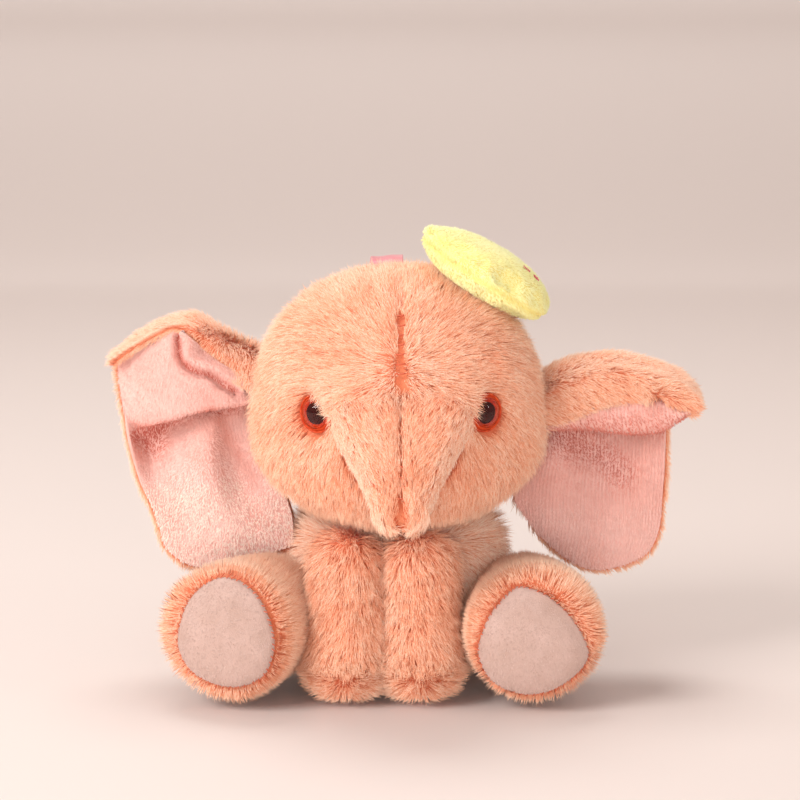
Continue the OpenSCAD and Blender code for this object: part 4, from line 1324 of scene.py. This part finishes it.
cap = Skin(cap_grid(CAP_ROWS, CAP_COLUMNS), closed=True)
row = np.repeat(np.linspace(-CAP_POLE, CAP_POLE, CAP_ROWS), CAP_COLUMNS)
cap.push(-0.4 * bump(row, -10, 7))
settle(cap, 1.3, 4.0, np.abs(row + 10) < 4, 1.5)
cap.push(0.15 * noise(cap.points, 5, 111))
fit(show("cap_cushion", cap, FLEECE), "cap", "cap_fleece", "cap_upper_panel", "cap_lower_panel",
    "cap_stuffing",
    fill=0.7)
# painted shade: the fuzz is made darker on a band just below the cushion's middle, where its lower side turns
# from the light
grow("cap_fuzz", cap, 9.0, even(0.9), combed(0.4, 0, -0.6), riding("cap"), 113,
     materials=FUZZ, tones=1, most=4, width=0.08, lean=(0.5, 0.8), locks=0.3, lock=1.4,
     speckle=0.4,
     tone=lambda p, n: 1.0 - 1.6 * bump(np.interp(p @ CAP_W - CAP @ CAP_W, [-6, 6], [-60, 60]), -12, 9))


def on_cap(u, v):
    """The place on the cushion's upper side above (u, v)."""
    rel = cap.points - CAP
    near = np.hypot(rel @ CAP_U - u, rel @ CAP_V - v) < 1.2
    return CAP + CAP_U * u + CAP_V * v + CAP_W * ((rel @ CAP_W)[near].max() + 0.35)


# a generic mark: five short stitches and a small star
mark = [[on_cap(9.0 + 0.55 * k, -6 + q) for q in np.linspace(-1, 1, 7)] for k in range(5)]
for k in range(6):
    t = k / 6 * math.pi
    mark.append([on_cap(14 + 1.2 * q * math.cos(t), -6 + 1.2 * q * math.sin(t))
                 for q in np.linspace(-1, 1, 7)])
fit(tube("cap_mark", mark, 0.2, MARK), "cap", "embroidery", "cap_embroidery")

# ---------------- ribbon

loop_z = HEAD[2] + HEAD_UP * (1 - (14 / HEAD_R) ** 2.2) ** (1 / 2.2) + 1.2
tilt = math.radians(2)
RIBBON_POINTS = 60
side_line = []
for t in np.linspace(0, 1, RIBBON_POINTS):
    way = t * 2 * math.pi
    along = 7.5 - 8.6 * math.cos(way)
    rise_here = 1.8 + 1.55 * math.sin(way) * (0.75 + 0.25 * math.cos(way)) + 0.35 * math.sin(2 * way)
    side_line.append((along, rise_here))
side_line = np.array(side_line)
ribbon = []
for x in np.linspace(-5, 5, 30):
    y = side_line[:, 0] * math.cos(tilt) - side_line[:, 1] * math.sin(tilt)
    z = side_line[:, 0] * math.sin(tilt) + side_line[:, 1] * math.cos(tilt)
    sway = 0.25 * math.sin(x * 0.9)
    ribbon.append(np.stack([np.full(RIBBON_POINTS, x - 2), y + 9 + 0.2 * math.cos(x),
                            z + loop_z + sway * 0.4 + 0.07 * x - 2.5], 1))
obj = sheet_mesh("ribbon_satin", np.array(ribbon), 0.45, SATIN, rim=0.08)
fit(obj, "ribbon", "ribbon_satin", "ribbon_loop", flat=(0.010, 0.038))

# ---------------- inner parts

INNER = {"pellet_bag": PELLETS, "eye_washers": WASHER, "neck_gather_thread": THREAD}
for name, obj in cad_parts.items():
    if not obj.hide_render:
        obj.data.materials.clear()
        obj.data.materials.append(INNER.get(name, FILLING))

# ---------------- floor, light and camera

FLOOR_ROWS = 60
floor = bpy.data.meshes.new("floor")
sweep = [(-1.6, 0.0), (0.5, 0.0), (0.9, 0.02), (1.15, 0.12), (1.25, 0.35), (1.28, 1.6)]
line = through(sweep, FLOOR_ROWS)
points = [(x, y, z) for y, z in line for x in (-2.2, 2.2)]
floor.from_pydata(points, [], [(2 * i, 2 * i + 1, 2 * i + 3, 2 * i + 2) for i in range(FLOOR_ROWS - 1)])
floor.polygons.foreach_set("use_smooth", np.full(FLOOR_ROWS - 1, True))
floor.materials.append(plain("floor_pale", (238, 226, 220), 0.6))
floor = bpy.data.objects.new("floor", floor)
bpy.context.scene.collection.objects.link(floor)
floor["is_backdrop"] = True


def lamp(name, place, target, size, power, colour):
    data = bpy.data.lights.new(name, "AREA")
    data.shape, data.size, data.energy, data.color = "DISK", size, power, colour
    obj = bpy.data.objects.new(name, data)
    obj.location = place
    obj.rotation_mode = "QUATERNION"
    obj.rotation_quaternion = (Vector(target) - Vector(place)).to_track_quat("-Z", "Y")
    bpy.context.scene.collection.objects.link(obj)
    obj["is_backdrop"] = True


MIDDLE = (0, 0, 0.07)
lamp("key", (-0.75, -0.68, 0.75), MIDDLE, 0.6, 8.2, (1, 0.97, 0.95))
lamp("fill", (0.05, -1.3, 0.09), MIDDLE, 0.9, 9.4, (1, 0.96, 0.94))
lamp("top", (-0.1, 0.35, 0.95), MIDDLE, 0.5, 3.5, (1, 0.98, 0.96))
# two small lamps that show only as a glint in each eye
for name, x in (("glint_left", 0.84), ("glint_right", -0.84)):
    lamp(name, (x, -0.40, 0.44), MIDDLE, 0.14, 0.5, (1, 0.98, 0.96))

world = bpy.data.worlds.new("studio")
world.use_nodes = True
world.node_tree.nodes["Background"].inputs["Color"].default_value = (1.0, 0.92, 0.88, 1)
world.node_tree.nodes["Background"].inputs["Strength"].default_value = 0.47
bpy.context.scene.world = world
bpy.context.scene.view_settings.view_transform = "Standard"

camera = bpy.data.cameras.new("camera")
camera.sensor_width, camera.lens = 36, 132.8
camera.clip_start, camera.clip_end = 0.05, 20
camera = bpy.data.objects.new("camera", camera)
up, away = math.radians(10), 0.9
camera.location = (0.0021, -0.010 - away * math.cos(up), 0.0867 + away * math.sin(up))
camera.rotation_mode = "QUATERNION"
camera.rotation_quaternion = Vector((0, math.cos(up), -math.sin(up))).to_track_quat("-Z", "Y")
bpy.context.scene.collection.objects.link(camera)
bpy.context.scene.camera = camera

low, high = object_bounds()
